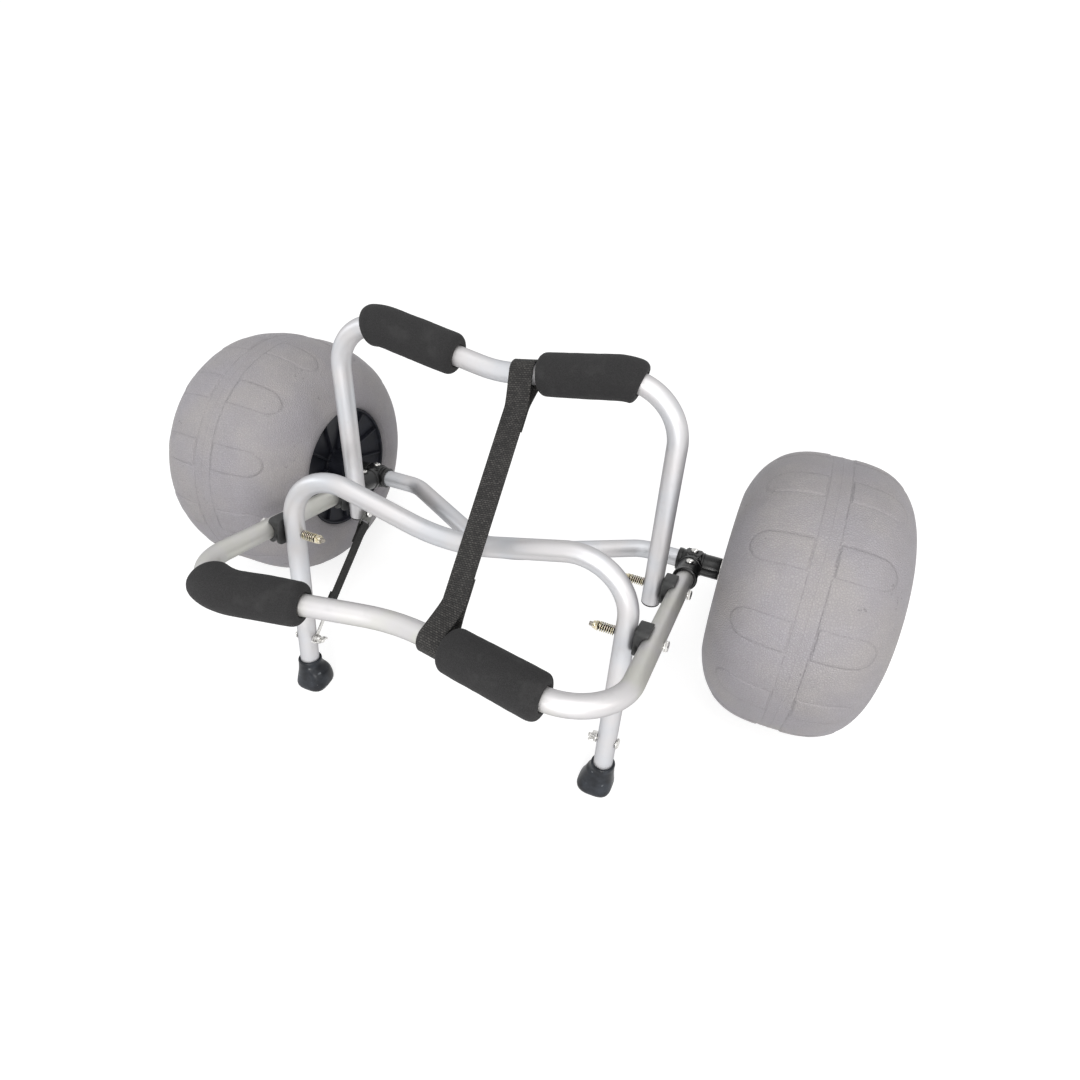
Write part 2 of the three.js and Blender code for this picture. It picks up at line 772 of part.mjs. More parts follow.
// A rubber boot: its collar grips the leaning tube, and its flat sole is wider towards the cart's middle.
function makeBoot(side) {
  const top = legAtHeight(0).addScaledVector(legDirection, bootLength);
  const collar = top.clone().addScaledVector(legDirection, -bootCollarLength);
  const round = { width: bootCollarRadius, depth: bootCollarRadius, inset: 0, lean: 1 };
  const wide = { width: bootHalfWidth, depth: bootHalfDepth, inset: bootInset, lean: 0 };
  const rings = [
    { ...wide, centre: legAtHeight(0), width: wide.width - bootEdge, depth: wide.depth - bootEdge },
    { ...wide, centre: legAtHeight(bootEdgeHeight) },
    {
      centre: legAtHeight(bootWaistHeight),
      width: (wide.width + round.width) / 2,
      depth: (wide.depth + round.depth) / 2,
      inset: bootInset / 2,
      lean: 1 / 2,
    },
    { ...round, centre: collar },
    { ...round, centre: top },
  ];
  const shell = new THREE.CylinderGeometry(1, 1, rings.length - 1, roundSides, rings.length - 1);
  shell.translate(0, (rings.length - 1) / 2, 0);
  const position = shell.attributes.position;
  for (let k = 0; k < position.count; k += 1) {
    const ring = rings[Math.round(position.getY(k))];
    const across = ring.width * position.getX(k) - side * ring.inset;
    const back = -ring.depth * position.getZ(k);
    const tilt = ring.lean * standLean * degree;
    position.setXYZ(k, across, ring.centre.y + back * Math.cos(tilt), ring.centre.z - back * Math.sin(tilt));
  }
  const bore = rodAlongZ(0, standDrop, acrossFlats(tubeRadius + seatGap, roundSides), roundSides);
  const tubeEnd = legAtHeight(tubeEndHeight).addScaledVector(legDirection, -seatGap);
  bore.rotateX(-standLean * degree).translate(tubeEnd.x, tubeEnd.y, tubeEnd.z);
  return cut(shell, [bore]).translate(side * legHalfSpacing, 0, 0);
}

const wingNutFace = { left: legInnerFace - 2 * seatGap - tabThickness, right: legInnerFace - seatGap };

function makeFootBolt(side, name) {
  const tip = wingNutFace[name] - wingNutLength - boltTip;
  const bolt = boltAlongX(side, side * (legHalfSpacing + tubeRadius + seatGap), side * tip, footBoltHeadHeight);
  return bolt.translate(0, 0, -footBoltDrop);
}

// A wing nut with its wings along the leg.
function makeWingNut(side, name) {
  const face = wingNutFace[name];
  const body = rodAlongX(side * face, side * (face - wingNutLength), wingNutRadius, smallSides);
  const wings = [-1, 1].map((end) => {
    const wing = new THREE.BoxGeometry(wingNutLength, wingThickness, wingReach - hingeBoltRadius);
    wing.translate(0, 0, (end * (wingReach + hingeBoltRadius)) / 2);
    return wing.translate(side * (face - wingNutLength / 2 - wingThickness / 2), 0, 0);
  });
  const nut = joined([body, ...wings]);
  return cut(nut, [hingeHole(0, hingeBoltRadius + turningGap, "z")]).translate(0, 0, -footBoltDrop);
}

// Straps

// A flat band through stations, each with its place and the direction across the band.
function ribbon(stations, width, thickness) {
  const steps = stations.length - 1;
  const band = new THREE.BoxGeometry(width, thickness, steps, 1, 1, steps);
  band.translate(0, 0, steps / 2);
  const position = band.attributes.position;
  for (let k = 0; k < position.count; k += 1) {
    const i = Math.round(position.getZ(k));
    const { point, across } = stations[i];
    const next = stations[Math.min(i + 1, steps)].point;
    const along = next.clone().sub(stations[Math.max(i - 1, 0)].point);
    const facing = along.cross(across).normalize();
    const moved = point.clone().addScaledVector(across, position.getX(k)).addScaledVector(facing, position.getY(k));
    position.setXYZ(k, moved.x, moved.y, moved.z);
  }
  return band;
}

// One end of a strap round its bar, square to the bar, from the seam's under layer to its upper layer.
function strapLoop(end, layer) {
  const { bar, ahead, upward, seamStart } = end;
  const touch = Math.acos(end.radius / Math.hypot(seamStart, layer));
  const first = -Math.atan2(layer, seamStart) - touch;
  const turn = 2 * (Math.PI + first);
  const steps = Math.ceil(turn / (loopStep * degree));
  const flat = [[seamStart, -layer]];
  for (let k = 0; k <= steps; k += 1) {
    const angle = first - (turn * k) / steps;
    flat.push([end.radius * Math.cos(angle), end.radius * Math.sin(angle)]);
  }
  flat.push([seamStart, layer]);
  return flat.map(([u, n]) => ({
    point: bar.point.clone().addScaledVector(ahead, u).addScaledVector(upward, n),
    across: bar.tangent,
  }));
}

function strapEnd(bar, away, thickness, seamStart) {
  const slide = away.dot(bar.tangent);
  const square = away.clone().addScaledVector(bar.tangent, -slide).normalize();
  const ahead = square.clone().addScaledVector(bar.tangent, slide * strapSkewShare);
  const upward = square.clone().cross(bar.tangent).normalize();
  const seam = bar.point.clone().addScaledVector(ahead, seamStart);
  return { bar, ahead, upward, seam, seamStart, radius: bar.radius + bar.gap + thickness / 2 };
}

// A strap between two bars, looped and sewn back at both ends. It turns evenly between their directions.
function makeStrap({ from, to, width, thickness, runSteps, seamStart, seamLength, turnLength }) {
  const away = to.point.clone().sub(from.point).normalize();
  const layer = (thickness + strapLayerGap) / 2;
  const start = strapEnd(from, away, thickness, seamStart);
  const flipped = { ...to, tangent: to.tangent.clone().negate() };
  const end = strapEnd(flipped, away.clone().negate(), thickness, seamStart);
  const along = end.seam.clone().sub(start.seam).normalize();
  const squared = (tangent) => tangent.clone().addScaledVector(along, -tangent.dot(along)).normalize();
  const [startAcross, endAcross] = [squared(from.tangent), squared(to.tangent)];
  const length = start.seam.distanceTo(end.seam);
  const at = (distance, level) => {
    const share = THREE.MathUtils.smoothstep(distance, seamStart, length - seamStart);
    const across = startAcross.clone().lerp(endAcross, share).normalize();
    const upward = along.clone().cross(across).normalize();
    const point = start.seam.clone().addScaledVector(along, distance).addScaledVector(upward, level * layer);
    return { point, across };
  };
  const run = [at(turnLength, 1)];
  for (let k = 0; k <= runSteps; k += 1) {
    run.push(at(seamLength + ((length - 2 * seamLength) * k) / runSteps, 1));
  }
  run.push(at(length - turnLength, 1));
  const facing = (station) => ({ point: station.point, across: station.across.clone().negate() });
  const tail = [at(seamLength, -1), at(turnLength, -1)];
  const farTail = [at(length - seamLength, -1), at(length - turnLength, -1)];
  const farLoop = [...farTail.map(facing), ...strapLoop(end, layer)].reverse().map(facing);
  return ribbon([...tail, ...strapLoop(start, layer), ...run, ...farLoop], width, thickness);
}

function barInCart(group, stations, x, radius, gap) {
  const { point, tangent } = crossbarAt(stations, x);
  return { point: inCart(group, point), tangent: turnedInCart(group, tangent), radius, gap };
}

function makeMainStrap() {
  return makeStrap({
    from: barInCart(rear, rearRoute, strapRearOffset, tubeRadius, strapBarGap),
    to: barInCart(base, baseRoute, strapFrontOffset, tubeRadius, strapBarGap),
    width: strapWidth,
    thickness: strapThickness,
    runSteps: 2,
    seamStart: strapSeamStart,
    seamLength: strapSeamLength,
    turnLength: strapTurnLength,
  });
}

// The tether lies beside the left legs, from a tab riveted to the cradle's foot to a tab on the stand's bolt.
const rivetPlace = inCart(rear, v(0, 0, tetherBoltSetback - rearTail));
const footBolt = inCart(stand, v(0, 0, -footBoltDrop));
const tetherAway = footBolt.clone().sub(rivetPlace).normalize();
const upperTabX = rivetCollar + 2 * seatGap + tabThickness / 2 - legInnerFace;
const lowerTabX = seatGap + tabThickness / 2 - legInnerFace;

// A rivet through the inner wall of the cradle's left foot, with a collar behind the tab and its tail spread.
function makeTetherRivet() {
  const collarFace = seatGap - legInnerFace;
  const headFace = upperTabX + tabThickness / 2 + seatGap;
  const tail = rivetTailReach - legHalfSpacing;
  const parts = [
    rodAlongX(collarFace, collarFace + rivetCollar, rivetHeadRadius, smallSides),
    rodAlongX(headFace, headFace + rivetHeadHeight, rivetHeadRadius, smallSides),
    rodAlongX(headFace + rivetHeadHeight / 2, tail - rivetTailLength / 2, hingeBoltRadius, smallSides),
    rodAlongX(tail, tail - rivetTailLength, rivetTailRadius, smallSides),
  ];
  return joined(parts).translate(0, 0, tetherBoltSetback - rearTail);
}

function tetherRivetHole() {
  const radius = acrossFlats(hingeBoltRadius + seatGap, smallSides);
  const hole = rodAlongX(-legHalfSpacing, cutOverrun - legInnerFace, radius, smallSides);
  return hole.translate(0, 0, tetherBoltSetback - rearTail);
}

// A flat tab with a hole for its bolt and, at a reach along the tether, a bar between a slot and its end.
function makeTetherTab({ x, bolt, away, reach }) {
  const end = reach + tabBarWidth / 2;
  const plate = new THREE.BoxGeometry(tabThickness, end + tabMargin, tabWidth);
  plate.translate(x, (end - tabMargin) / 2, 0);
  const slot = new THREE.BoxGeometry(tabThickness + cutOverrun, tabSlotWidth, tetherWidth + 2 * strapLayerGap);
  slot.translate(x, reach - (tabBarWidth + tabSlotWidth) / 2, 0);
  const hole = hingeHole(0, hingeBoltRadius + seatGap, "y");
  const tab = cut(plate, [slot, hole]).rotateX(Math.atan2(away.z, away.y));
  return tab.translate(0, bolt.y, bolt.z);
}

const upperTab = { x: upperTabX, bolt: rivetPlace, away: tetherAway, reach: upperTabReach };
const lowerTab = { x: lowerTabX, bolt: footBolt, away: tetherAway.clone().negate(), reach: lowerTabReach };

function tabBar({ x, bolt, away, reach }) {
  const tangent = v(1, 0, 0).cross(tetherAway).normalize();
  const point = bolt.clone().addScaledVector(away, reach).setX(x);
  return { point, tangent, radius: tabBarWidth / 2, gap: strapLayerGap };
}

function makeTether() {
  return makeStrap({
    from: tabBar(upperTab),
    to: tabBar(lowerTab),
    width: tetherWidth,
    thickness: tetherThickness,
    runSteps: 2,
    seamStart: tetherSeamStart,
    seamLength: tetherSeamLength,
    turnLength: tetherTurnLength,
  });
}

// Assembly

base.add(piece("base_frame", makeBaseFrame(), "tube"));
axleGroup.add(piece("axle_tube", tube(axleRoute), "tube"));
rear.add(piece("rear_frame", makeUprightFrame(rearRoute, [tetherRivetHole()]), "tube"));
stand.add(piece("stand_frame", makeUprightFrame(standRoute, [
  hingeHole(-footBoltDrop, hingeBoltRadius + seatGap, "z"),
]), "tube"));

const hinges = [
  { name: "rear", distance: rearPivotDistance },
  { name: "stand", distance: standPivotDistance },
];

for (const { side, name } of sides) {
  base.add(piece(`connector_${name}`, makeConnector(side), "plastic"));
  connectorScrewSeats().forEach((seat, k) => {
    base.add(piece(`connector_screw_${["top", "front"][k]}_${name}`, makeConnectorScrew(side, seat), "steel"));
  });

  for (const hinge of hinges) {
    const fittings = new THREE.Group();
    fittings.position.y = -hinge.distance;
    fittings.add(piece(`${hinge.name}_hinge_spacer_${name}`, makeSpacer(side), "plastic"));
    fittings.add(piece(`${hinge.name}_hinge_bolt_${name}`, makeHingeBolt(side), "steel"));
    fittings.add(piece(`${hinge.name}_hinge_spring_${name}`, makeSpring(side), "zinc"));
    fittings.add(piece(`${hinge.name}_lock_nut_${name}`, makeLockNut(side), "zinc"));
    base.add(fittings);
  }

  rear.add(piece(`rear_end_cap_${name}`, makeEndCap(side), "plastic"));
  rear.add(piece(`rear_pad_${name}`, makePad(rearRoute, side, rearPadStart), "foam"));
  const frontStart = side > 0 ? frontPadStartRight : frontPadStartLeft;
  base.add(piece(`front_pad_${name}`, makePad(baseRoute, side, frontStart), "foam"));

  stand.add(piece(`foot_bolt_${name}`, makeFootBolt(side, name), "steel"));
  stand.add(piece(`wing_nut_${name}`, makeWingNut(side, name), "steel"));
  cart.add(piece(`boot_${name}`, makeBoot(side), "rubber"));

  const wheel = new THREE.Group();
  wheel.position.z = wheelRadius;
  wheel.add(piece(`tyre_${name}`, makeTyre(side), "tyre"));
  wheel.add(piece(`hub_inner_${name}`, makeHubHalf(side, -side, hubInnerReach), "plastic"));
  wheel.add(piece(`hub_outer_${name}`, makeHubHalf(side, side, hubOuterReach), "plastic"));
  wheel.add(piece(`bushing_${name}`, makeBushing(side), "nylon"));
  wheel.add(piece(`stub_axle_${name}`, makeStubAxle(side), "steel"));
  wheel.add(piece(`inner_washer_${name}`, makeAxleWasher(side, sleeveEnd + seatGap), "steel"));
  wheel.add(piece(`outer_washer_${name}`, makeAxleWasher(side, hubOuterFace + seatGap), "steel"));
  wheel.add(piece(`retaining_pin_${name}`, makeRetainingPin(side), "steel"));
  cart.add(wheel);
}

rear.add(piece("tether_rivet", makeTetherRivet(), "steel"));
cart.add(piece("tether_upper_tab", makeTetherTab(upperTab), "steel"));
cart.add(piece("tether_lower_tab", makeTetherTab(lowerTab), "steel"));
cart.add(piece("tether_strap", makeTether(), "webbing"));
cart.add(piece("main_strap", makeMainStrap(), "webbing"));

// The origin is on the floor, under the middle of the cart's box.
const bounds = new THREE.Box3().setFromObject(cart, true);
const middle = bounds.getCenter(new THREE.Vector3());
cart.position.set(-middle.x, -middle.y, -bounds.min.z);

export default cart;
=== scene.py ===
"""Looks of a folding kayak cart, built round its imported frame. Lengths below are in millimetres, in the
groups that the cart's frames are drawn in, and every mesh is written in metres in the frame's own axes."""

import math

import bmesh
import bpy
import numpy as np
from mathutils import Matrix, Vector, noise


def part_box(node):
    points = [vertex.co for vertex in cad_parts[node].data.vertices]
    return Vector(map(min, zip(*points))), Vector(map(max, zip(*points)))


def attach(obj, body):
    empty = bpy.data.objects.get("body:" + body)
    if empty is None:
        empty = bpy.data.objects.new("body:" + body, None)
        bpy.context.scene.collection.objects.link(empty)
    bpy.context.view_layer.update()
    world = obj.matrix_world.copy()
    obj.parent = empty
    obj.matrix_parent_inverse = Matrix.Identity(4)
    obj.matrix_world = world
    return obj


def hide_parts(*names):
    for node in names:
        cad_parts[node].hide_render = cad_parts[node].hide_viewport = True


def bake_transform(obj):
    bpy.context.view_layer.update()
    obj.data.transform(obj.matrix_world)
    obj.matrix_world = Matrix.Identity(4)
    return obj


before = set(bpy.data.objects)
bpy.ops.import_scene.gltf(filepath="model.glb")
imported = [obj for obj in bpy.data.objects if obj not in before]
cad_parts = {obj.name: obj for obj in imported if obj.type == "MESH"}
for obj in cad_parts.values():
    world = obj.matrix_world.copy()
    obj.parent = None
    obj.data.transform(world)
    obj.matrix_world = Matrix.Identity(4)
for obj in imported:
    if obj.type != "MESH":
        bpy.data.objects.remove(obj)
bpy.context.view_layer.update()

MM = 0.001

# Camera, fitted to the photograph
CAMERA_PLACE = (0.276808, -0.502836, 0.658019)
CAMERA_RIGHT = (0.93648979, 0.34726636, 0.0489177)
CAMERA_UP = (-0.25980124, 0.59329179, 0.76191087)
CAMERA_BACK = (0.23556355, -0.72623063, 0.64583194)
CAMERA_LENS = 22.6305
CAMERA_SENSOR = 36
CAMERA_SHIFT = (-0.04962, 0.00066)
CAMERA_CLIP = (0.01, 2000)

camera = bpy.data.objects.new("camera", bpy.data.cameras.new("camera"))
bpy.context.scene.collection.objects.link(camera)
bpy.context.scene.camera = camera
axes = Matrix((CAMERA_RIGHT, CAMERA_UP, CAMERA_BACK)).transposed().to_4x4()
camera.matrix_world = Matrix.Translation(CAMERA_PLACE) @ axes
camera.data.lens = CAMERA_LENS
camera.data.sensor_width = CAMERA_SENSOR
camera.data.shift_x, camera.data.shift_y = CAMERA_SHIFT
camera.data.clip_start, camera.data.clip_end = CAMERA_CLIP
bpy.context.scene.view_settings.view_transform = "Standard"

# Sizes shared with the cart's frames
SEAT_GAP = 0.3
TUBE_RADIUS = 10
CORNER_BEND = 54
ARM_HALF = 207
LEG_HALF = 180.3
WHEEL_RADIUS = 150
BASE_INCLINE = 14.65
BASE_LENGTH = 310.8
BASE_DIP = 47.3
BASE_DIP_BEND = 150
ARM_START = 15
REAR_PIVOT = 75.9
REAR_LEAN = 6.65
REAR_RISE = 222
REAR_TAIL = 21
REAR_DIP = 30.1
REAR_DIP_BEND = 120
STAND_PIVOT = 178.4
STAND_LEAN = 11.25
STAND_RISE = 83.8
STAND_DIP = 44
STAND_DIP_BEND = 190
TUBE_END_HEIGHT = 8
AXLE_INCLINE = 8.85
AXLE_STRAIGHT = 147
AXLE_DIP = 90
AXLE_ELBOW = 40
AXLE_DIP_BEND = 60
AXLE_TUBE_END = 210
BAND_HALF = 10.5
HINGE_BOLT = 3
HEAD_ACROSS = 10
HEAD_HEIGHT = 4
LOCK_ACROSS = 9
STUB_RADIUS = 8
LEG_INNER = LEG_HALF - TUBE_RADIUS
LEG_OUTER = LEG_HALF + TUBE_RADIUS
TUBE_SEAT = TUBE_RADIUS + SEAT_GAP
STUB_SEAT = STUB_RADIUS + SEAT_GAP

# Springs, lock nuts and bolt tips, as the photograph shows them
BOLT_TIP = 3.6
SPRING_LENGTH = 14.9
SPRING_WIRE = 0.95
SPRING_BORE_GAP = 0.9
SPRING_CURLS = 6.4
LOCK_LENGTH = 6
SPRING_START = LEG_INNER - SEAT_GAP
LOCK_START = SPRING_START - SPRING_LENGTH - SEAT_GAP
LOCK_END = LOCK_START - LOCK_LENGTH
SPRING_RADIUS = HINGE_BOLT + SPRING_BORE_GAP + SPRING_WIRE / 2

STAND_PIVOT_HEIGHT = WHEEL_RADIUS + STAND_PIVOT * math.sin(math.radians(BASE_INCLINE))
STAND_COS = math.cos(math.radians(STAND_LEAN))
STAND_DROP = (STAND_PIVOT_HEIGHT - TUBE_END_HEIGHT) / STAND_COS


# Groups, as the frames are drawn in

def turn(axis, degrees):
    return Matrix.Rotation(math.radians(degrees), 4, axis)


def shift(x=0.0, y=0.0, z=0.0):
    return Matrix.Translation((x, y, z))


tyre_low, tyre_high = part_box("tyre_right")
CART = shift(y=(tyre_low.y + tyre_high.y) / 2 / MM)
WHEELS = CART @ shift(z=WHEEL_RADIUS)
BASE = WHEELS @ turn("X", -BASE_INCLINE)
REAR = BASE @ shift(y=-REAR_PIVOT) @ turn("X", BASE_INCLINE - REAR_LEAN)
STAND = BASE @ shift(y=-STAND_PIVOT) @ turn("X", BASE_INCLINE - STAND_LEAN)
AXLE = BASE @ turn("X", BASE_INCLINE - AXLE_INCLINE)
TO_CART = CART.inverted()

# Turns of a shape drawn along X
ALONG_Y = turn("Z", -90)
ALONG_Z = turn("Y", -90)

SIDES = (("left", -1), ("right", 1))

# Shapes: points, faces and each point's place in the unbent piece, which the materials read

SHARP_ANGLE = math.radians(38)
HEX_CHAMFER = 0.18
THREAD_PITCH = 1.0
THREAD_DEPTH = 0.32
THREAD_STEPS = 6


def unit(v):
    v = np.asarray(v, float)
    return v / np.linalg.norm(v)


def units(rows):
    return rows / np.linalg.norm(rows, axis=1)[:, None]


def around(count):
    """Evenly spaced angles of a full turn."""
    return np.arange(count) * 2 * math.pi / count


def travelled(points):
    """The distance along a line at each of its points."""
    return np.concatenate([[0], np.cumsum(np.linalg.norm(np.diff(points, axis=0), axis=1))])


def read_at(marks, rows, distance):
    """Rows that are known at marks, read in between at one distance or at several."""
    return np.stack([np.interp(distance, marks, column) for column in rows.T], -1)


def smooth_step(low, high, value):
    t = np.clip((value - low) / (high - low), 0, 1)
    return t * t * (3 - 2 * t)


def about_x(along, reach, angles):
    """Points at angles about the X axis."""
    return np.stack(np.broadcast_arrays(along, reach * np.cos(angles), reach * np.sin(angles)), 1)


def wire_ring(centre, a, b, radius, sides=10):
    """The round section of a wire, in the plane of the directions a and b."""
    angles = around(sides)
    return centre + radius * (np.cos(angles)[:, None] * a + np.sin(angles)[:, None] * b)


def uneven(along, angles, seed, *waves):
    """Smooth irregular heights at angles about X. A wave is a height, a length along and a count around."""
    heights = np.zeros(len(angles))
    for height, length, count in waves:
        for k, angle in enumerate(angles):
            spot = Vector((along / length, math.cos(angle) * count, math.sin(angle) * count + seed))
            heights[k] += height * noise.noise(spot)
    return heights


def merged(*shapes):
    points, faces, flats, offset = [], [], [], 0
    for shape_points, shape_faces, shape_flat in shapes:
        points.append(shape_points)
        flats.append(shape_flat)
        faces += [[i + offset for i in face] for face in shape_faces]
        offset += len(shape_points)
    return np.concatenate(points), faces, np.concatenate(flats)


def in_group(points, group):
    m = np.array(group)
    return points @ m[:3, :3].T + m[:3, 3]


def placed(shape, matrix):
    return in_group(shape[0], matrix), shape[1], shape[2]


def moved(shape, x=0, y=0, z=0):
    return shape[0] + np.array([x, y, z]), shape[1], shape[2]


def mirrored(shape, side):
    """The shape as it is for the right side, or its mirror image for the left."""
    return shape[0] * np.array([side, 1, 1]), shape[1], shape[2]


def grid(rings, flat=None, looped=False):
    """A surface through rings of points. It closes on itself if looped, and else is capped at both ends."""
    rings = np.asarray(rings, float)
    count, sides = rings.shape[:2]
    faces = []
    for i in range(count if looped else count - 1):
        first, second = i * sides, (i + 1) % count * sides
        for k in range(sides):
            n = (k + 1) % sides
            faces.append([first + k, first + n, second + n, second + k])
    if not looped:
        faces += [list(range(sides)), list(range((count - 1) * sides, count * sides))]
    points = rings.reshape(-1, 3)
    return points, faces, points.copy() if flat is None else np.asarray(flat, float).reshape(-1, 3)


def rounded(corners, steps=5):
    """A line through corners (u, v, radius), each rounded to its radius. A corner of two numbers stays
    sharp."""
    line = []
    for i, corner in enumerate(corners):
        here = np.array(corner[:2], float)
        if len(corner) < 3:
            line.append(here)
            continue
        radius = corner[2]
        before = unit(np.array(corners[i - 1][:2]) - here)
        after = unit(np.array(corners[(i + 1) % len(corners)][:2]) - here)
        half = math.acos(max(-1, min(1, before @ after))) / 2
        setback = radius / math.tan(half)
        centre = here + unit(before + after) * radius / math.sin(half)
        start, end = here + before * setback - centre, here + after * setback - centre
        sweep = math.pi - 2 * half
        for share in np.arange(steps + 1) / steps:
            near, far = math.sin((1 - share) * sweep), math.sin(share * sweep)
            line.append(centre + (start * near + end * far) / math.sin(sweep))
    return np.array(line)


def lathe(profile, sides=48, looped=True, limit=np.inf):
    """A body turned about X from (along, radius) pairs, no wider than limit at any angle."""
    angles = around(sides)
    rings = [about_x(along, np.minimum(radius, limit), angles) for along, radius in profile]
    return grid(rings, looped=looped)


def rod(start, end, radius, edge, sides=32):
    """A plain rod along X with rounded rims."""
    profile = [(start, radius / 2), (start, radius, edge), (end, radius, edge), (end, radius / 2)]
    return lathe(rounded(profile, 3), sides, looped=False)


def collar(start, end, inner, outer, edge, sides=64):
    """A ring along X, its four rims rounded."""
    corners = [(start, inner, edge / 2), (start, outer, edge), (end, outer, edge), (end, inner, edge / 2)]
    return lathe(rounded(corners, 3), sides)


def polygon(across, corners, sides=96):
    """The reach of a regular polygon at each of a lathe's angles."""
    step = 2 * math.pi / corners
    return across / 2 / np.cos((around(sides) + step / 2) % step - step / 2)


def hex_body(start, end, across, bore=0):
    """A hexagonal body along X, its corners turned down to a chamfer at both ends."""
    tip = across / 2 / math.cos(math.pi / 6)
    drop = across * HEX_CHAMFER
    low = tip - drop
    inner = bore or low / 2
    profile = [(start, inner), (start, low), (start + drop / 2, tip)]
    profile += [(end - drop / 2, tip), (end, low), (end, inner)]
    return lathe(profile, 96, looped=bool(bore), limit=polygon(across, 6))


def block(size, centre, edge, segments=2):
    """A box with rounded edges."""
    mesh = bmesh.new()
    bmesh.ops.create_cube(mesh, size=1)
    bmesh.ops.scale(mesh, vec=size, verts=mesh.verts)
    bmesh.ops.bevel(mesh, geom=mesh.edges[:], offset=edge, segments=segments, profile=0.5, affect="EDGES")
    mesh.verts.index_update()
    points = np.array([v.co for v in mesh.verts], float) + np.array(centre)
    faces = [[v.index for v in face.verts] for face in mesh.faces]
    mesh.free()
    return points, faces, points.copy()


def thread(start, end, radius):
    """A threaded rod along X, slightly slimmer towards its end."""
    steps = int(abs(end - start) / THREAD_PITCH * THREAD_STEPS)
    angles = around(20)
    rings = []
    for i in range(steps + 1):
        along = start + (end - start) * i / steps
        wound = (along / THREAD_PITCH - angles / (2 * math.pi)) % 1
        taper = min(1, (steps - i) / THREAD_STEPS + 0.35)
        reach = (radius - THREAD_DEPTH * np.abs(2 * wound - 1)) * (0.8 + 0.2 * taper)
        rings.append(about_x(along, reach, angles))
    return grid(rings)


def make(name, shape, material, group, body, slot, *nodes):
    """A mesh object for a shape of a group."""
    points, faces, flat = shape
    mesh = bpy.data.meshes.new(name)
    mesh.from_pydata((in_group(points, group) * MM).tolist(), [], faces)
    made = bmesh.new()
    made.from_mesh(mesh)
    bmesh.ops.recalc_face_normals(made, faces=made.faces)
    made.to_mesh(mesh)
    made.free()
    attribute = mesh.attributes.new("flat", "FLOAT_VECTOR", "POINT")
    attribute.data.foreach_set("vector", flat.astype(np.float32).ravel())
    mesh.shade_smooth()
    mesh.set_sharp_from_angle(angle=SHARP_ANGLE)
    mesh.materials.append(material)
    piece = bpy.data.objects.new(name, mesh)
    bpy.context.scene.collection.objects.link(piece)
    if body:
        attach(piece, body)
    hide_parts(*nodes)
    return piece


# Tubes, each bent in a plane. A plane's rows are the two axes it is drawn in and the one across it.

LYING = np.eye(3)
UPRIGHT = LYING[[0, 2, 1]]
BEND_STEP = 3
ROUTE_STEP = 12
TUBE_SIDES = 40
TUBE_WALL = 1.5
TUBE_RIM = 0.4


def route(corners):
    """A bent line in a plane: its places (u, v), its direction there and the distance travelled."""
    places = []
    for i, corner in enumerate(corners):
        at = np.array(corner[:2], float)
        if len(corner) < 3:
            places.append(at)
            continue
        before, after = unit(at - corners[i - 1][:2]), unit(corners[i + 1][:2] - at)
        angle = math.acos(before @ after)
        centre = at + unit(after - before) * corner[2] / math.cos(angle / 2)
        start = at - before * corner[2] * math.tan(angle / 2) - centre
        bend = math.copysign(angle, before[0] * after[1] - before[1] * after[0])
        steps = max(4, math.ceil(math.degrees(angle) / BEND_STEP))
        for k in range(steps + 1):
            c, s = math.cos(bend * k / steps), math.sin(bend * k / steps)
            places.append(centre + [start[0] * c - start[1] * s, start[0] * s + start[1] * c])
    fine = [places[0]]
    for a, b in zip(places, places[1:]):
        count = max(1, round(np.linalg.norm(b - a) / ROUTE_STEP))
        fine += [a + (b - a) * k / count for k in range(1, count + 1)]
    fine = np.array(fine)
    return fine, units(np.gradient(fine, axis=0)), travelled(fine)


def along_route(line, plane, rings, looped=False):
    """A body along a route. rings are (distance, radii at each angle) pairs."""
    places, tangents, marks = line
    made, flats = [], []
    for distance, radii in rings:
        centre = read_at(marks, places, distance) @ plane[:2]
        side = np.cross(unit(read_at(marks, tangents, distance)) @ plane[:2], plane[2])
        angles = around(len(radii))
        cosines, sines = (np.cos(angles) * radii)[:, None], (np.sin(angles) * radii)[:, None]
        made.append(centre + cosines * side + sines * plane[2])
        flats.append(np.concatenate([np.full((len(radii), 1), distance), cosines, sines], 1))
    return grid(made, flats, looped)


def tube(line, plane):
    """An open tube: its outside, a rounded rim at both ends and its bore a little way in."""
    length = line[2][-1]
    bore = TUBE_RADIUS - TUBE_WALL
    depth = 2 * TUBE_RADIUS
    rings = [(depth, bore), (0, bore), (0, TUBE_RADIUS - TUBE_RIM), (TUBE_RIM, TUBE_RADIUS)]
    rings += [(mark, TUBE_RADIUS) for mark in line[2][1:-1]]
    rings += [(length - TUBE_RIM, TUBE_RADIUS), (length, TUBE_RADIUS - TUBE_RIM), (length, bore)]
    rings += [(length - depth, bore)]
    return along_route(line, plane, [(at, np.full(TUBE_SIDES, radius)) for at, radius in rings])


def crossbar_route(half, start, corner, dip, dip_bend):
    """Two straight legs from start, bent at corner into a crossbar that dips in its middle."""
    return route([(-half, start), (-half, corner, CORNER_BEND), (0, corner - dip, dip_bend),
                  (half, corner, CORNER_BEND), (half, start)])


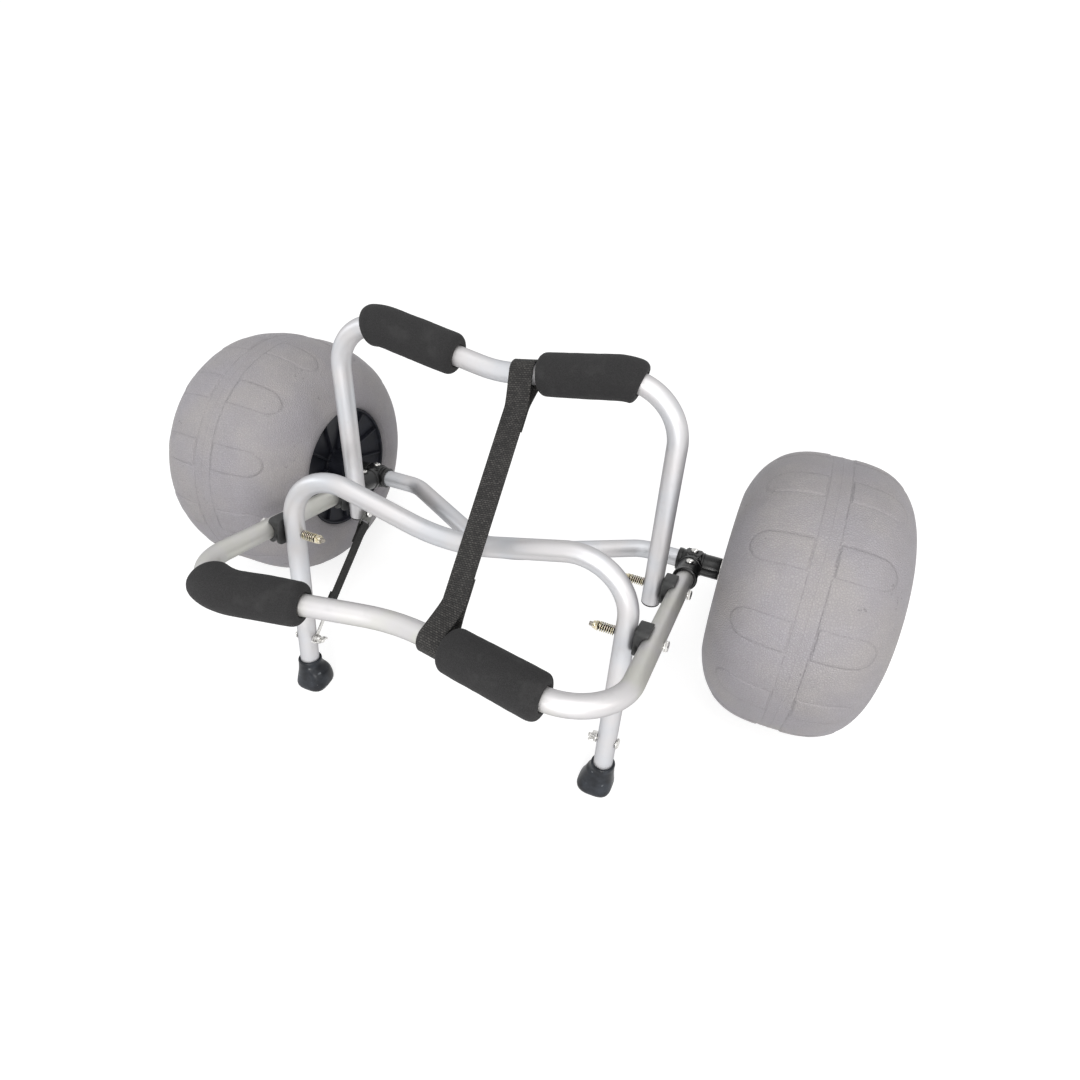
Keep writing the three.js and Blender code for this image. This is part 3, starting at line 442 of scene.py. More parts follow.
BASE_LINE = crossbar_route(ARM_HALF, -ARM_START, -BASE_LENGTH, -BASE_DIP, BASE_DIP_BEND)
REAR_LINE = crossbar_route(LEG_HALF, -REAR_TAIL, REAR_RISE, REAR_DIP, REAR_DIP_BEND)
STAND_LINE = crossbar_route(LEG_HALF, -STAND_DROP, STAND_RISE, STAND_DIP, STAND_DIP_BEND)
AXLE_LINE = route([(-AXLE_TUBE_END, 0), (-AXLE_STRAIGHT, 0, AXLE_ELBOW), (0, -AXLE_DIP, AXLE_DIP_BEND),
                   (AXLE_STRAIGHT, 0, AXLE_ELBOW), (AXLE_TUBE_END, 0)])


# Materials

def node(tree, kind, inputs=None, **settings):
    made = tree.nodes.new(kind)
    for key, value in settings.items():
        setattr(made, key, value)
    for key, value in (inputs or {}).items():
        if isinstance(value, bpy.types.NodeSocket):
            tree.links.new(value, made.inputs[key])
        else:
            made.inputs[key].default_value = value
    return made


class Paint:
    """A material and the few kinds of node that the cart's surfaces use."""

    def __init__(self, name, metallic=0.0, **shader):
        self.material = bpy.data.materials.new(name)
        self.material.use_nodes = True
        self.tree = self.material.node_tree
        self.shader = self.tree.nodes["Principled BSDF"]
        self.shader.inputs["Metallic"].default_value = metallic
        for key, value in shader.items():
            self.shader.inputs[key.replace("_", " ")].default_value = value
        self.place = self.attribute("flat", "Vector")

    def attribute(self, name, output):
        return node(self.tree, "ShaderNodeAttribute", attribute_name=name).outputs[output]

    def part(self, axis):
        return node(self.tree, "ShaderNodeSeparateXYZ", {0: self.place}).outputs[axis]

    def scaled(self, x, y, z):
        return node(self.tree, "ShaderNodeVectorMath", {0: self.place, 1: (x, y, z)},
                    operation="MULTIPLY").outputs[0]

    def noise(self, scale, detail=3.0, rough=0.55, stretch=(1, 1, 1)):
        inputs = {"Vector": self.scaled(*stretch), "Scale": scale, "Detail": detail, "Roughness": rough}
        return node(self.tree, "ShaderNodeTexNoise", inputs).outputs["Fac"]

    def cells(self, scale, feature):
        inputs = {"Vector": self.place, "Scale": scale}
        return node(self.tree, "ShaderNodeTexVoronoi", inputs, feature=feature).outputs["Distance"]

    def ranged(self, value, low, high, to_low=0.0, to_high=1.0):
        inputs = {"Value": value, "From Min": low, "From Max": high, "To Min": to_low, "To Max": to_high}
        return node(self.tree, "ShaderNodeMapRange", inputs,
                    interpolation_type="SMOOTHSTEP").outputs["Result"]

    def mixed(self, share, a, b):
        return node(self.tree, "ShaderNodeMix", {0: share, 6: a, 7: b}, data_type="RGBA").outputs[2]

    def blended(self, value, low, high, a, b, share=1.0):
        """a, which gives way to b as value rises from low to high, up to a share of it."""
        return self.mixed(self.ranged(value, low, high, 0.0, share), a, b)

    def math(self, operation, a, b=0.0):
        return node(self.tree, "ShaderNodeMath", {0: a, 1: b}, operation=operation).outputs[0]

    def bump(self, height, depth, strength=1.0, after=None):
        inputs = {"Height": height, "Distance": depth * MM, "Strength": strength}
        if after is not None:
            inputs["Normal"] = after
        return node(self.tree, "ShaderNodeBump", inputs).outputs["Normal"]

    def finish(self, colour, roughness, normal):
        for key, value in (("Base Color", colour), ("Roughness", roughness), ("Normal", normal)):
            self.tree.links.new(value, self.shader.inputs[key])
        return self.material


def shade(level, tint=(1, 1, 1)):
    return tuple(level * t for t in tint) + (1,)


TUBE_LEVEL = 0.64
TUBE_EDGE_TINT = (0.22, 0.225, 0.235, 1)
COOL_TINT = (0.985, 1.0, 1.04)
PLAIN_TINT = (1.02, 1.0, 1.01)
# Olive tint for the base tube's smudges: a painted reflection
OLIVE_REFLECTION_TINT = (1.0, 0.995, 0.93)
WEBBING_TINT = (1.06, 1, 0.94)
# Tint of the painted shade on a bolt where its spring covers it
PAINTED_SHADE_TINT = (1, 0.85, 0.7)
TYRE_TINT = (1.0, 0.95, 1.0)


def satin_tube(name, cool, warm):
    """Anodised aluminium: satin, darker where it turns away, with smudges that drift between two tints."""
    p = Paint(name, metallic=0.75, Specular_Tint=TUBE_EDGE_TINT)
    grain = p.noise(2.2, 4, 0.6, (0.05, 1, 1))
    smudges = p.noise(0.016, 3)
    cloud = p.noise(0.09, 3, 0.6)
    colour = p.blended(smudges, 0.38, 0.62, shade(TUBE_LEVEL, cool), shade(TUBE_LEVEL, warm))
    colour = p.blended(cloud, 0.55, 0.75, colour, shade(TUBE_LEVEL * 0.86), 0.3)
    fine = p.ranged(grain, 0.3, 0.7, -0.015, 0.02)
    roughness = p.math("ADD", p.ranged(smudges, 0.3, 0.7, 0.44, 0.49), fine)
    nicks = p.ranged(p.noise(0.35, 2, 0.5, (0.6, 1, 1)), 0.72, 0.80)
    height = p.math("SUBTRACT", grain, p.math("MULTIPLY", nicks, 0.8))
    return p.finish(colour, roughness, p.bump(height, 0.012, 0.5))


def moulded(name, level, gloss, grain, tint=(1, 1, 1), relief=0.02, shine=0.5):
    """Moulded plastic, with a fine mould grain, a little dust and pale scratches."""
    p = Paint(name, Specular_IOR_Level=shine)
    dust = p.noise(0.09, 4)
    scratches = p.ranged(p.noise(0.5, 3, 0.5, (0.15, 1, 1)), 0.62, 0.72)
    colour = p.blended(dust, 0.4, 0.75, shade(level, tint), shade(level * 1.9, tint))
    colour = p.mixed(p.math("MULTIPLY", scratches, 0.2), colour, shade(level * 4, tint))
    roughness = p.ranged(dust, 0.3, 0.7, gloss, gloss + 0.12)
    return p.finish(colour, roughness, p.bump(p.noise(grain, 2), relief, 0.5))


def foam():
    """Black foam with open pores, rubbed paler in places."""
    p = Paint("foam")
    pores = p.cells(1.5, "F1")
    grain = p.noise(2.6, 4, 0.65)
    rubbed = p.noise(0.05, 3)
    colour = p.blended(pores, 0.15, 0.75, shade(0.0125, (1, 0.98, 1)), shade(0.026, (1, 0.98, 1.02)))
    colour = p.blended(rubbed, 0.52, 0.72, colour, shade(0.042, (1, 0.99, 1)), 0.5)
    height = p.math("ADD", p.math("MULTIPLY", pores, 0.6), grain)
    soft = p.bump(p.noise(0.11, 2), 1.2, 0.5)
    return p.finish(colour, p.ranged(grain, 0.3, 0.7, 0.86, 1.0), p.bump(height, 0.25, 0.9, soft))


def webbing(name, rib, column, pale):
    """Flat woven webbing: ribs that run across the strap, each made of short bars set off from the next
    rib's. The bars are a column long, and pale is their brightest level."""
    p = Paint(name)
    turned = node(p.tree, "ShaderNodeCombineXYZ", {"X": p.part("Y"), "Y": p.part("X")}).outputs[0]
    weave = {"Vector": turned, "Scale": 1.0, "Mortar Size": rib * 0.24, "Mortar Smooth": 0.7,
             "Brick Width": column, "Row Height": rib, "Color1": shade(pale * 0.28, WEBBING_TINT),
             "Color2": shade(pale, WEBBING_TINT), "Mortar": shade(0.003)}
    bars = node(p.tree, "ShaderNodeTexBrick", weave).outputs
    fibres = p.noise(2.6, 3, 0.6, (1, 0.5, 1))
    wear_and_shade_breaks = p.noise(0.06, 3)
    colour = p.blended(wear_and_shade_breaks, 0.45, 0.75, bars["Color"], shade(pale * 0.83, (1.03, 1, 0.96)), 0.2)
    colour = p.blended(fibres, 0.52, 0.66, colour, shade(0.005), 0.7)
    height = p.math("SUBTRACT", p.math("MULTIPLY", fibres, 0.4), bars["Fac"])
    return p.finish(colour, p.ranged(fibres, 0.3, 0.7, 0.70, 0.90), p.bump(height, 0.45, 1.0))


def boot_rubber():
    """Blue-black rubber, dusty and scuffed."""
    p = Paint("boot_rubber", Specular_IOR_Level=0.3)
    dust = p.noise(0.07, 4, 0.6)
    scuffs = p.ranged(p.noise(0.13, 1), 0.66, 0.71)
    colour = p.blended(dust, 0.35, 0.72, shade(0.010, (1, 1.15, 1.5)), shade(0.036, (1, 1.14, 1.4)))
    colour = p.mixed(p.math("MULTIPLY", scuffs, 0.5), colour, shade(0.20, (1, 1.06, 1.14)))
    return p.finish(colour, p.ranged(dust, 0.3, 0.7, 0.34, 0.50), p.bump(p.noise(1.4, 3), 0.10, 0.5))


def tyre_skin():
    """Soft grey tyre with a leathery grain, faint mottling, a few scuffs and fine dark lines round its
    relief, which are painted shade of its steps and seams.
    The relief attribute holds the distance outward from the edge of the nearest lobe."""
    p = Paint("tyre_skin")
    grain = p.cells(0.42, "DISTANCE_TO_EDGE")
    fine = p.noise(1.1, 4, 0.6)
    mottle = p.noise(0.014, 3, 0.5)
    patches = p.noise(0.05, 3, 0.5)
    pink, plain = shade(0.375, (1.0, 0.955, 1.03)), shade(0.405, (1.0, 0.945, 0.95))
    colour = p.blended(mottle, 0.35, 0.65, pink, plain)
    colour = p.mixed(p.ranged(patches, 0.35, 0.60, 0.35, 0), colour, shade(0.34, TYRE_TINT))
    colour = p.mixed(p.ranged(grain, 0.0, 0.20, 0.42, 0), colour, shade(0.24, TYRE_TINT))
    scuffs = p.ranged(p.noise(0.25, 3, 0.6), 0.60, 0.68)
    marks = p.math("MULTIPLY", p.ranged(p.noise(0.022, 1), 0.64, 0.69), scuffs)
    colour = p.mixed(p.math("MULTIPLY", marks, 0.5), colour, shade(0.13))
    lobe = p.attribute("relief", "Fac")
    off_middle = p.math("ABSOLUTE", p.part("X"))
    band = p.math("SUBTRACT", off_middle, BAND_HALF)
    # Painted shade: dark lines along the lobe edges, the band edges and the parting line. For each, where it
    # lies, half its width and how dark it is
    lines = [p.ranged(p.math("ABSOLUTE", p.math("SUBTRACT", value, middle)), 0.25, width, depth, 0)
             for value, middle, width, depth in ((lobe, 0.5, 1.0, 0.38), (band, -0.4, 0.9, 0.45),
                                                 (off_middle, 0.0, 0.55, 0.35))]
    # Breaks the painted shade lines in places
    wear_and_shade_breaks = p.ranged(p.noise(0.04, 2), 0.35, 0.60, 0.35, 1)
    darkest_groove_shade = p.math("MAXIMUM", p.math("MAXIMUM", lines[0], lines[1]), lines[2])
    # Lays the painted shade lines over the colour
    colour = p.mixed(p.math("MULTIPLY", darkest_groove_shade, wear_and_shade_breaks), colour, shade(0.22, TYRE_TINT))
    steps = p.math("ADD", p.ranged(lobe, -0.9, 0.4, 1, 0), p.ranged(band, -0.4, 0.8))
    height = p.math("ADD", p.ranged(grain, 0.0, 0.35), p.math("MULTIPLY", fine, 0.7))
    normal = p.bump(height, 0.42, 0.8, p.bump(steps, 0.34, 1.0))
    return p.finish(colour, p.ranged(fine, 0.3, 0.7, 0.48, 0.60), normal)


def plated(name, low, high, gloss):
    """Plated fasteners: bright metal with faint clouding."""
    p = Paint(name, metallic=1.0)
    cloud = p.noise(0.5, 3)
    lines = p.noise(3.0, 2, 0.5, (0.2, 1, 1))
    colour = p.blended(cloud, 0.35, 0.68, low + (1,), high + (1,))
    return p.finish(colour, p.ranged(cloud, 0.3, 0.7, gloss, gloss + 0.16), p.bump(lines, 0.03, 0.5))


def bolt_painted_shade():
    """A bolt that is bright outside the frame and painted dark where its spring covers it: painted shade that
    shows in the gaps between the coils.
    """
    p = Paint("bolt_painted_shade", metallic=1.0)
    cloud = p.noise(0.5, 3)
    across = p.math("ABSOLUTE", p.part("X"))
    bright = p.blended(cloud, 0.35, 0.68, shade(0.62, (1, 0.98, 0.95)), shade(0.76, (1, 0.99, 0.96)))
    # Painted shade: the bolt's colour inside the spring
    inside = p.blended(cloud, 0.35, 0.68, shade(0.020, PAINTED_SHADE_TINT), shade(0.045, PAINTED_SHADE_TINT))
    tip = p.blended(across, LOCK_START - 0.5, LOCK_START, shade(0.34, (1, 0.92, 0.8)), inside)
    colour = p.blended(across, SPRING_START, SPRING_START + 1, tip, bright)
    return p.finish(colour, p.ranged(cloud, 0.3, 0.7, 0.24, 0.40), p.bump(p.noise(3.0, 2), 0.03, 0.5))


def yellow_zinc(name, painted_shade_end):
    """Yellow zinc plating, painted darker where the metal lies nearer to the bolt's axis than the given end
    radius: painted shade.
    """
    p = Paint(name, metallic=1.0)
    hue = p.noise(0.35, 2)
    colour = p.blended(hue, 0.40, 0.52, shade(0.66, (1, 0.88, 0.58)), shade(0.74, (1, 0.95, 0.76)))
    colour = p.blended(hue, 0.55, 0.66, colour, shade(0.62, (1, 0.80, 0.70)))
    length = node(p.tree, "ShaderNodeVectorMath", {0: p.scaled(0, 1, 1)}, operation="LENGTH")
    off_axis = length.outputs["Value"]
    # Painted shade: darker nearer to the bolt's axis
    colour = p.blended(off_axis, painted_shade_end - 0.5, painted_shade_end, shade(0.03, (1, 0.8, 0.6)), colour)
    return p.finish(colour, p.ranged(hue, 0.3, 0.7, 0.22, 0.36), p.bump(p.noise(2.5, 3), 0.03, 0.5))


TUBE = satin_tube("satin_tube", COOL_TINT, PLAIN_TINT)
# The base tube's smudges drift to an olive tint, a painted reflection
BASE_TUBE = satin_tube("satin_base_tube", PLAIN_TINT, OLIVE_REFLECTION_TINT)
PLASTIC = moulded("black_plastic", 0.005, 0.24, 1.8, (1, 1, 1.04), relief=0.004, shine=0.45)
SPACER_PLASTIC = moulded("spacer_plastic", 0.032, 0.44, 1.6, (1, 1.02, 1.02), relief=0.04, shine=0.4)
HUB_PLASTIC = moulded("hub_plastic", 0.012, 0.42, 1.2, (1, 1.08, 1.5), shine=0.18)
NYLON = moulded("grey_nylon", 0.10, 0.42, 2.2)
FOAM = foam()
WEBBING = webbing("wide_webbing", 1.9, 3.0, 0.072)
TAPE = webbing("narrow_webbing", 1.6, 2.4, 0.022)
THREAD = moulded("thread", 0.02, 0.6, 4.0)
RUBBER = boot_rubber()
STEEL = plated("bright_steel", (0.60, 0.59, 0.57), (0.74, 0.73, 0.71), 0.20)
TAB_STEEL = plated("tab_steel", (0.08, 0.08, 0.075), (0.18, 0.18, 0.17), 0.30)
# A bolt painted dark inside its spring, as painted shade
BOLT_PAINTED_SHADE = bolt_painted_shade()
# The spring and the nut are painted darker on the side that faces the bolt, as painted shade
SPRING_ZINC = yellow_zinc("spring_zinc", SPRING_RADIUS + 0.35)
NUT_ZINC = yellow_zinc("nut_zinc", HINGE_BOLT + 0.4)
TYRE = tyre_skin()

# Frames

make("base_tube", tube(BASE_LINE, LYING), BASE_TUBE, BASE, "base", "tube", "base_frame")
make("axle_cross_tube", tube(AXLE_LINE, LYING), TUBE, AXLE, "base", "tube", "axle_tube")
make("rear_tube", tube(REAR_LINE, UPRIGHT), TUBE, REAR, "cradle", "tube", "rear_frame")
make("stand_tube", tube(STAND_LINE, UPRIGHT), TUBE, STAND, "stand", "tube", "stand_frame")

# Foam pads

PAD_RADIUS = 21
PAD_LENGTH = 98
PAD_ROUND = 6.5
PAD_MOUTH = 1.5
PAD_SIDES = 64
PAD_STEP = 1.6
PAD_SWELL = (0.5, 26, 1.1)
PAD_RIPPLE = (0.14, 7, 3)
PAD_CROWN = 0.35
PAD_CROWN_LENGTH = 9
PAD_SETBACK = 1.15
REAR_PAD_START = {"left": 43.5, "right": 43.5}
FRONT_PAD_START = {"left": 84, "right": 54.5}
REAR_PAD_SEED = {"left": 3.1, "right": 7.7}
FRONT_PAD_SEED = {"left": 12.4, "right": 21.9}


def mark_at(line, x):
    """The distance along a route where its crossbar passes x."""
    places, _, marks = line
    inner = np.abs(places[:, 0]) < ARM_HALF - CORNER_BEND
    return float(np.interp(x, places[inner, 0], marks[inner]))


def pad(line, plane, side, start_x, seed):
    """A foam sleeve with rounded ends, a little uneven along its length."""
    first = mark_at(line, side * start_x)
    start, end = (first, first + PAD_LENGTH) if side > 0 else (first - PAD_LENGTH, first)
    mouth = TUBE_SEAT + PAD_MOUTH
    profile = [(start + 2, TUBE_SEAT, 0.4), (start, mouth, 1.0), (start, PAD_RADIUS, PAD_ROUND),
               (end, PAD_RADIUS, PAD_ROUND), (end, mouth, 1.0), (end - 2, TUBE_SEAT, 0.4)]
    corners = rounded(profile, 6)
    outer = [i for i, (_, radius) in enumerate(corners) if radius > PAD_RADIUS - 0.01]
    middle = np.linspace(corners[outer[0]], corners[outer[-1]], int(PAD_LENGTH / PAD_STEP))
    rings = []
    for distance, radius in np.concatenate([corners[:outer[0]], middle, corners[outer[-1] + 1:]]):
        swell = (radius - TUBE_SEAT) / (PAD_RADIUS - TUBE_SEAT)
        inward = min(distance - start, end - distance)
        rise = PAD_CROWN * (1 - math.exp(-max(inward, 0) / PAD_CROWN_LENGTH)) - PAD_SETBACK
        ripple = uneven(distance, around(PAD_SIDES), seed, PAD_SWELL, PAD_RIPPLE)
        rings.append((distance, radius + swell * (ripple + rise)))
    return along_route(line, plane, rings, looped=True)


for name, side in SIDES:
    for end, line, plane, group, body, starts, seeds in (
            ("rear", REAR_LINE, UPRIGHT, REAR, "cradle", REAR_PAD_START, REAR_PAD_SEED),
            ("front", BASE_LINE, LYING, BASE, "base", FRONT_PAD_START, FRONT_PAD_SEED)):
        sleeve = pad(line, plane, side, starts[name], seeds[name])
        piece = make(f"{end}_foam_{name}", sleeve, FOAM, group, body, "foam", f"{end}_pad_{name}")

# Connectors

BODY_HALF = 9.5
BODY_RADIUS = 13.5
BODY_CHAMFER = 1.2
COLLAR_RADIUS = 12.8
NECK_RADIUS = 12.2
COLLAR_IN = 189.5
NECK_IN = 194
SLEEVE_RADIUS = 12.6
SLEEVE_END = 238.7
BEAD_LENGTH = 3
BEAD_RISE = 0.7
SOCKET_RADIUS = 12.6
SOCKET_LENGTH = 46
LIP_RADIUS = 13.7
LIP_WIDTH = 5
STEP_WIDTH = 4.5
STEP_RISE = 0.9
WEB_SIZE = (34, 20, 4)
WEB_CENTRE = (14, -12, 0)
SCREW_SPACING = 27
SCREW_HEAD = 4.3
SCREW_HEAD_HEIGHT = 2
SCREW_SHANK = 2
RECESS_SIZES = ((0.5, 3.6, 0.9), (0.5, 0.9, 3.6))
GUSSET_SPREAD = 9
GUSSET_THICKNESS = 2.2
GUSSET_HEIGHT = 12.4


def connector():
    """The casting for the right side, drawn about its arm's centre line at x = ARM_HALF."""
    start, end = ARM_HALF - BODY_HALF, ARM_HALF + BODY_HALF
    tip = BODY_RADIUS / math.cos(math.pi / 8)
    rim = tip - BODY_CHAMFER
    profile = [(start, TUBE_SEAT), (start, rim, 0.8), (start + 2, tip, 0.8), (end - 2, tip, 0.8),
               (end, rim, 0.8), (end, TUBE_SEAT)]
    along = [collar(COLLAR_IN, NECK_IN + 1, TUBE_SEAT, COLLAR_RADIUS, 1.0),
             collar(NECK_IN, ARM_HALF, TUBE_SEAT, NECK_RADIUS, 0.4),
             lathe(rounded(profile, 3), 96, looped=False, limit=polygon(2 * BODY_RADIUS, 8)),
             collar(ARM_HALF, SLEEVE_END, STUB_SEAT, SLEEVE_RADIUS, 0.8),
             collar(end, end + BEAD_LENGTH, STUB_SEAT, SLEEVE_RADIUS + BEAD_RISE, 0.7)]
    # the socket for the arm: its start, end, radius and rim
    at_arm = [placed(collar(low, high, TUBE_SEAT, radius, edge), ALONG_Y) for low, high, radius, edge in (
        (0, SOCKET_LENGTH - 0.5, SOCKET_RADIUS, 0.6),
        (SOCKET_LENGTH - LIP_WIDTH, SOCKET_LENGTH, LIP_RADIUS, 1.1),
        (BODY_RADIUS - 1, BODY_RADIUS - 1 + STEP_WIDTH, SOCKET_RADIUS + STEP_RISE, 0.9))]
    at_arm.append(block(WEB_SIZE, WEB_CENTRE, 0.8, 3))
    at_arm.append(placed(rod(BODY_RADIUS - 1, BODY_RADIUS + 0.2, SCREW_HEAD + 1.6, 0.3), ALONG_Z))
    length = math.hypot(GUSSET_SPREAD, SCREW_SPACING)
    heading = math.degrees(math.atan2(GUSSET_SPREAD, SCREW_SPACING))
    for across in (-1, 1):
        leaf = block((GUSSET_THICKNESS, length, 2 * GUSSET_HEIGHT), (0, -length / 2, 0), 0.4, 2)
        at_arm.append(moved(placed(leaf, turn("Z", across * heading)), x=-across * GUSSET_SPREAD))
    front_seat = placed(rod(SOCKET_RADIUS - 2, SOCKET_RADIUS + 0.2, SCREW_HEAD + 1.4, 0.3), ALONG_Z)
    at_arm.append(moved(front_seat, y=-SCREW_SPACING))
    return merged(*along, *[moved(shape, x=ARM_HALF) for shape in at_arm])


def screw(height):
    """A cross-recessed pan head with a shank, standing up at x = ARM_HALF."""
    base = height + SEAT_GAP
    top = base + SCREW_HEAD_HEIGHT
    profile = [(height - 2.2, 0.6), (height - 2.2, SCREW_SHANK, 0.3), (base, SCREW_SHANK),
               (base, SCREW_HEAD, 0.3), (top, SCREW_HEAD - 0.2, 1.4), (top, 0.6)]
    bars = [block(size, (top, 0, 0), 0.15) for size in RECESS_SIZES]
    return moved(placed(merged(lathe(rounded(profile, 5), 40, looped=False), *bars), ALONG_Z), x=ARM_HALF)


for name, side in SIDES:
    make(f"casting_{name}", mirrored(connector(), side), PLASTIC, BASE, "base", "black_plastic",
         f"connector_{name}")
    for place, along, height in (("top", 0, BODY_RADIUS), ("front", SCREW_SPACING, SOCKET_RADIUS)):
        shape = mirrored(moved(screw(height), y=-along), side)
        make(f"casting_screw_{place}_{name}", shape, STEEL, BASE, "base", "steel",
             f"connector_screw_{place}_{name}")

# Hinges

SPACER_RADIUS = 14
SPACER_HALF_DEPTH = 12.4
SPACER_POWER = 5.5
SPACER_WAIST = 0.2
SPACER_SIDES = 128
SPACER_LIP = 6.5
FLANGE_WIDTH = 0.7
FLANGE_THICKNESS = 1.1
BOLT_TIP_RADIUS = 2.2
END_CURL = 0.8
CURL_STEPS = 30
CURL_BLUR = 6
LOCK_RING = 3


def spacer():
    """A moulded block between leg and arm: squared, flat on top, saddled on the arm and waisted below."""
    start = LEG_OUTER + SEAT_GAP
    widest = TUBE_RADIUS - SPACER_LIP
    angles = around(SPACER_SIDES)
    c, s = np.cos(angles), np.sin(angles)
    square = np.abs(c / SPACER_HALF_DEPTH) ** SPACER_POWER + np.abs(s / SPACER_RADIUS) ** SPACER_POWER
    outline = square ** (-1 / SPACER_POWER)
    below = smooth_step(0.3, -0.5, s)
    # share of the way from leg to arm, share of the full outline, depth of the waist there
    sleeve = [(0, 0.15, 0), (0, 0.94, 0), (0.03, 0.985, 0), (0.08, 1, 0), (0.26, 1, 0), (0.34, 1, 0.25),
              (0.44, 1, 0.8), (0.54, 1, 1), (0.64, 1, 0.8), (0.74, 1, 0.25), (0.82, 1, 0), (0.94, 1, 0),
              (0.985, 0.99, 0), (1, 0.96, 0)]
    sleeve += [(1, share, 0) for share in np.linspace(0.94, 0.15, 22)]
    rings = []
    for share, reach, waist in sleeve:
        radius = outline * reach * (1 - SPACER_WAIST * waist * below)
        y, z = radius * c, radius * s
        hollow = np.sqrt(np.maximum(TUBE_SEAT ** 2 - z ** 2, 0))
        far = ARM_HALF - np.maximum(hollow, widest)
        rings.append(np.stack([start + (far - start) * share, y, z], 1))
    return grid(rings)


def hinge_bolt(face, tip, head_height, threaded):
    """A flanged hexagon head outside the arm, a shank, a thread on its inner end and a slimmer tip."""
    neck = tip + BOLT_TIP - 0.6
    return merged(collar(face, face + FLANGE_THICKNESS, HINGE_BOLT, HEAD_ACROSS / 2 + FLANGE_WIDTH, 0.35, 48),
                  hex_body(face + 0.5, face + head_height, HEAD_ACROSS),
                  rod(threaded - 1, face + 1, HINGE_BOLT, 0.3),
                  thread(threaded, neck, HINGE_BOLT),
                  rod(tip, neck + 1, BOLT_TIP_RADIUS, 0.5))


def hinge_spring():
    """A wound spring on the bolt, its two end coils closed up."""
    curls = SPRING_CURLS + 2 * END_CURL - 0.6
    turns = np.linspace(0, curls, int(curls * CURL_STEPS) + 1)
    low, high = SPRING_WIRE / 2, SPRING_LENGTH - SPRING_WIRE / 2
    slow = SPRING_WIRE * END_CURL * 1.04
    along = np.interp(turns, [0, END_CURL, curls - END_CURL, curls], [low, low + slow, high - slow, high])
    window = 2 * CURL_BLUR + 1
    smooth = np.convolve(np.pad(along, CURL_BLUR, mode="edge"), np.ones(window) / window, mode="valid")
    angles = 2 * math.pi * turns
    line = about_x(SPRING_START - smooth, SPRING_RADIUS, angles)
    outward = about_x(0.0, 1, angles)
    across = np.cross(units(np.gradient(line, axis=0)), outward)
    return grid([wire_ring(*parts, SPRING_WIRE / 2) for parts in zip(line, outward, across)])


def lock_nut():
    """A hexagon nut with a round collar on its inner end."""
    bore = HINGE_BOLT + 0.05
    return merged(hex_body(LOCK_END + 2.4, LOCK_START, LOCK_ACROSS, bore),
                  collar(LOCK_END, LOCK_END + LOCK_RING, bore, LOCK_ACROSS / 2 - 0.7, 0.7, 48))


for hinge, distance in (("rear", REAR_PIVOT), ("stand", STAND_PIVOT)):
    place = BASE @ shift(y=-distance)
    for name, side in SIDES:
        bolt = hinge_bolt(ARM_HALF + TUBE_SEAT, LOCK_END - BOLT_TIP, HEAD_HEIGHT, SPRING_START + 1)
        for kind, shape, paint, slot, cad_node in (
                ("spacer_block", spacer(), SPACER_PLASTIC, "black_plastic", "hinge_spacer"),
                ("hex_bolt", bolt, BOLT_PAINTED_SHADE, "steel", "hinge_bolt"),
                ("coil_spring", hinge_spring(), SPRING_ZINC, "yellow_zinc", "hinge_spring"),
                ("nyloc_nut", lock_nut(), NUT_ZINC, "yellow_zinc", "lock_nut")):
            make(f"{hinge}_{kind}_{name}", mirrored(shape, side), paint, place, "base", slot,
                 f"{hinge}_{cad_node}_{name}")

# Wheels

WHEEL_CENTRE = 330.5
CROWN_HALF = 93.2
WIDTH_POWER = 3.01
RADIUS_POWER = 3.38
HUB_RADIUS = 76
HUB_FACE = 79.7
HUB_WALL = 4
HUB_BORE = 11.4
BEAD_WIDTH = 9
WEB_REACH = 56
WEB_THICKNESS = 5
BOSS_RADIUS = 19
INNER_REACH = 90
OUTER_REACH = 70
RIM_WIDTH = 2.6
DISH_EDGE = 71.5
DISH_RIM = 74.2
DISH_STEP = 1.6
DISH_FLOOR = 63
RIB_COUNT = 12
RIB_THICKNESS = 2.2
RIB_HEIGHT = 4.5
TYRE_WALL = 5.5
TYRE_STEPS = 540
LOBE_COUNT = 12
LOBE_HALF = 15
LOBE_START = 12
LOBE_END = 50
LOBE_RISE = 0.55
LOBE_GROOVE = 0.45
LOBE_SOFTNESS = 1.2
BAND_SINK = 0.25
PARTING_RISE = 0.3
TYRE_WANDER = (0.5, 45, 3.2)
TYRE_RIPPLE = (0.18, 11, 13)
TYRE_SETBACK = 0.7
RELIEF_FADE = (92, 118)
NO_RELIEF = 30
LOBE_PHASE = {"left": 0.0, "right": 5.5}
BUSHING_RADII = (STUB_RADIUS + 0.08, 11.08)
WASHER_THICKNESS = 1.2
WASHER_RADIUS = 13
AXLE_START = ARM_HALF + 4.5
AXLE_END = WHEEL_CENTRE + OUTER_REACH + 10.5
PIN_LENGTH = 26
PIN_RADIUS = 2
PIN_HEAD = 4
PIN_SETBACK = 4
PIN_RING = 12.5
PIN_WIRE = 0.75

# The tyre's edge and its seat on the hub: distances from its middle and radii
TYRE_LIP = ((86.6, 92.4), (86.9, 90.0), (87.05, 87.2), (86.9, 84.6), (86.2, 82.0), (84.9, 79.6), (82.9, 77.7),
            (80.6, 76.7), (79.0, HUB_RADIUS + SEAT_GAP), (HUB_FACE - BEAD_WIDTH, HUB_RADIUS + SEAT_GAP),
            (HUB_FACE - BEAD_WIDTH, HUB_RADIUS + SEAT_GAP + TYRE_WALL))


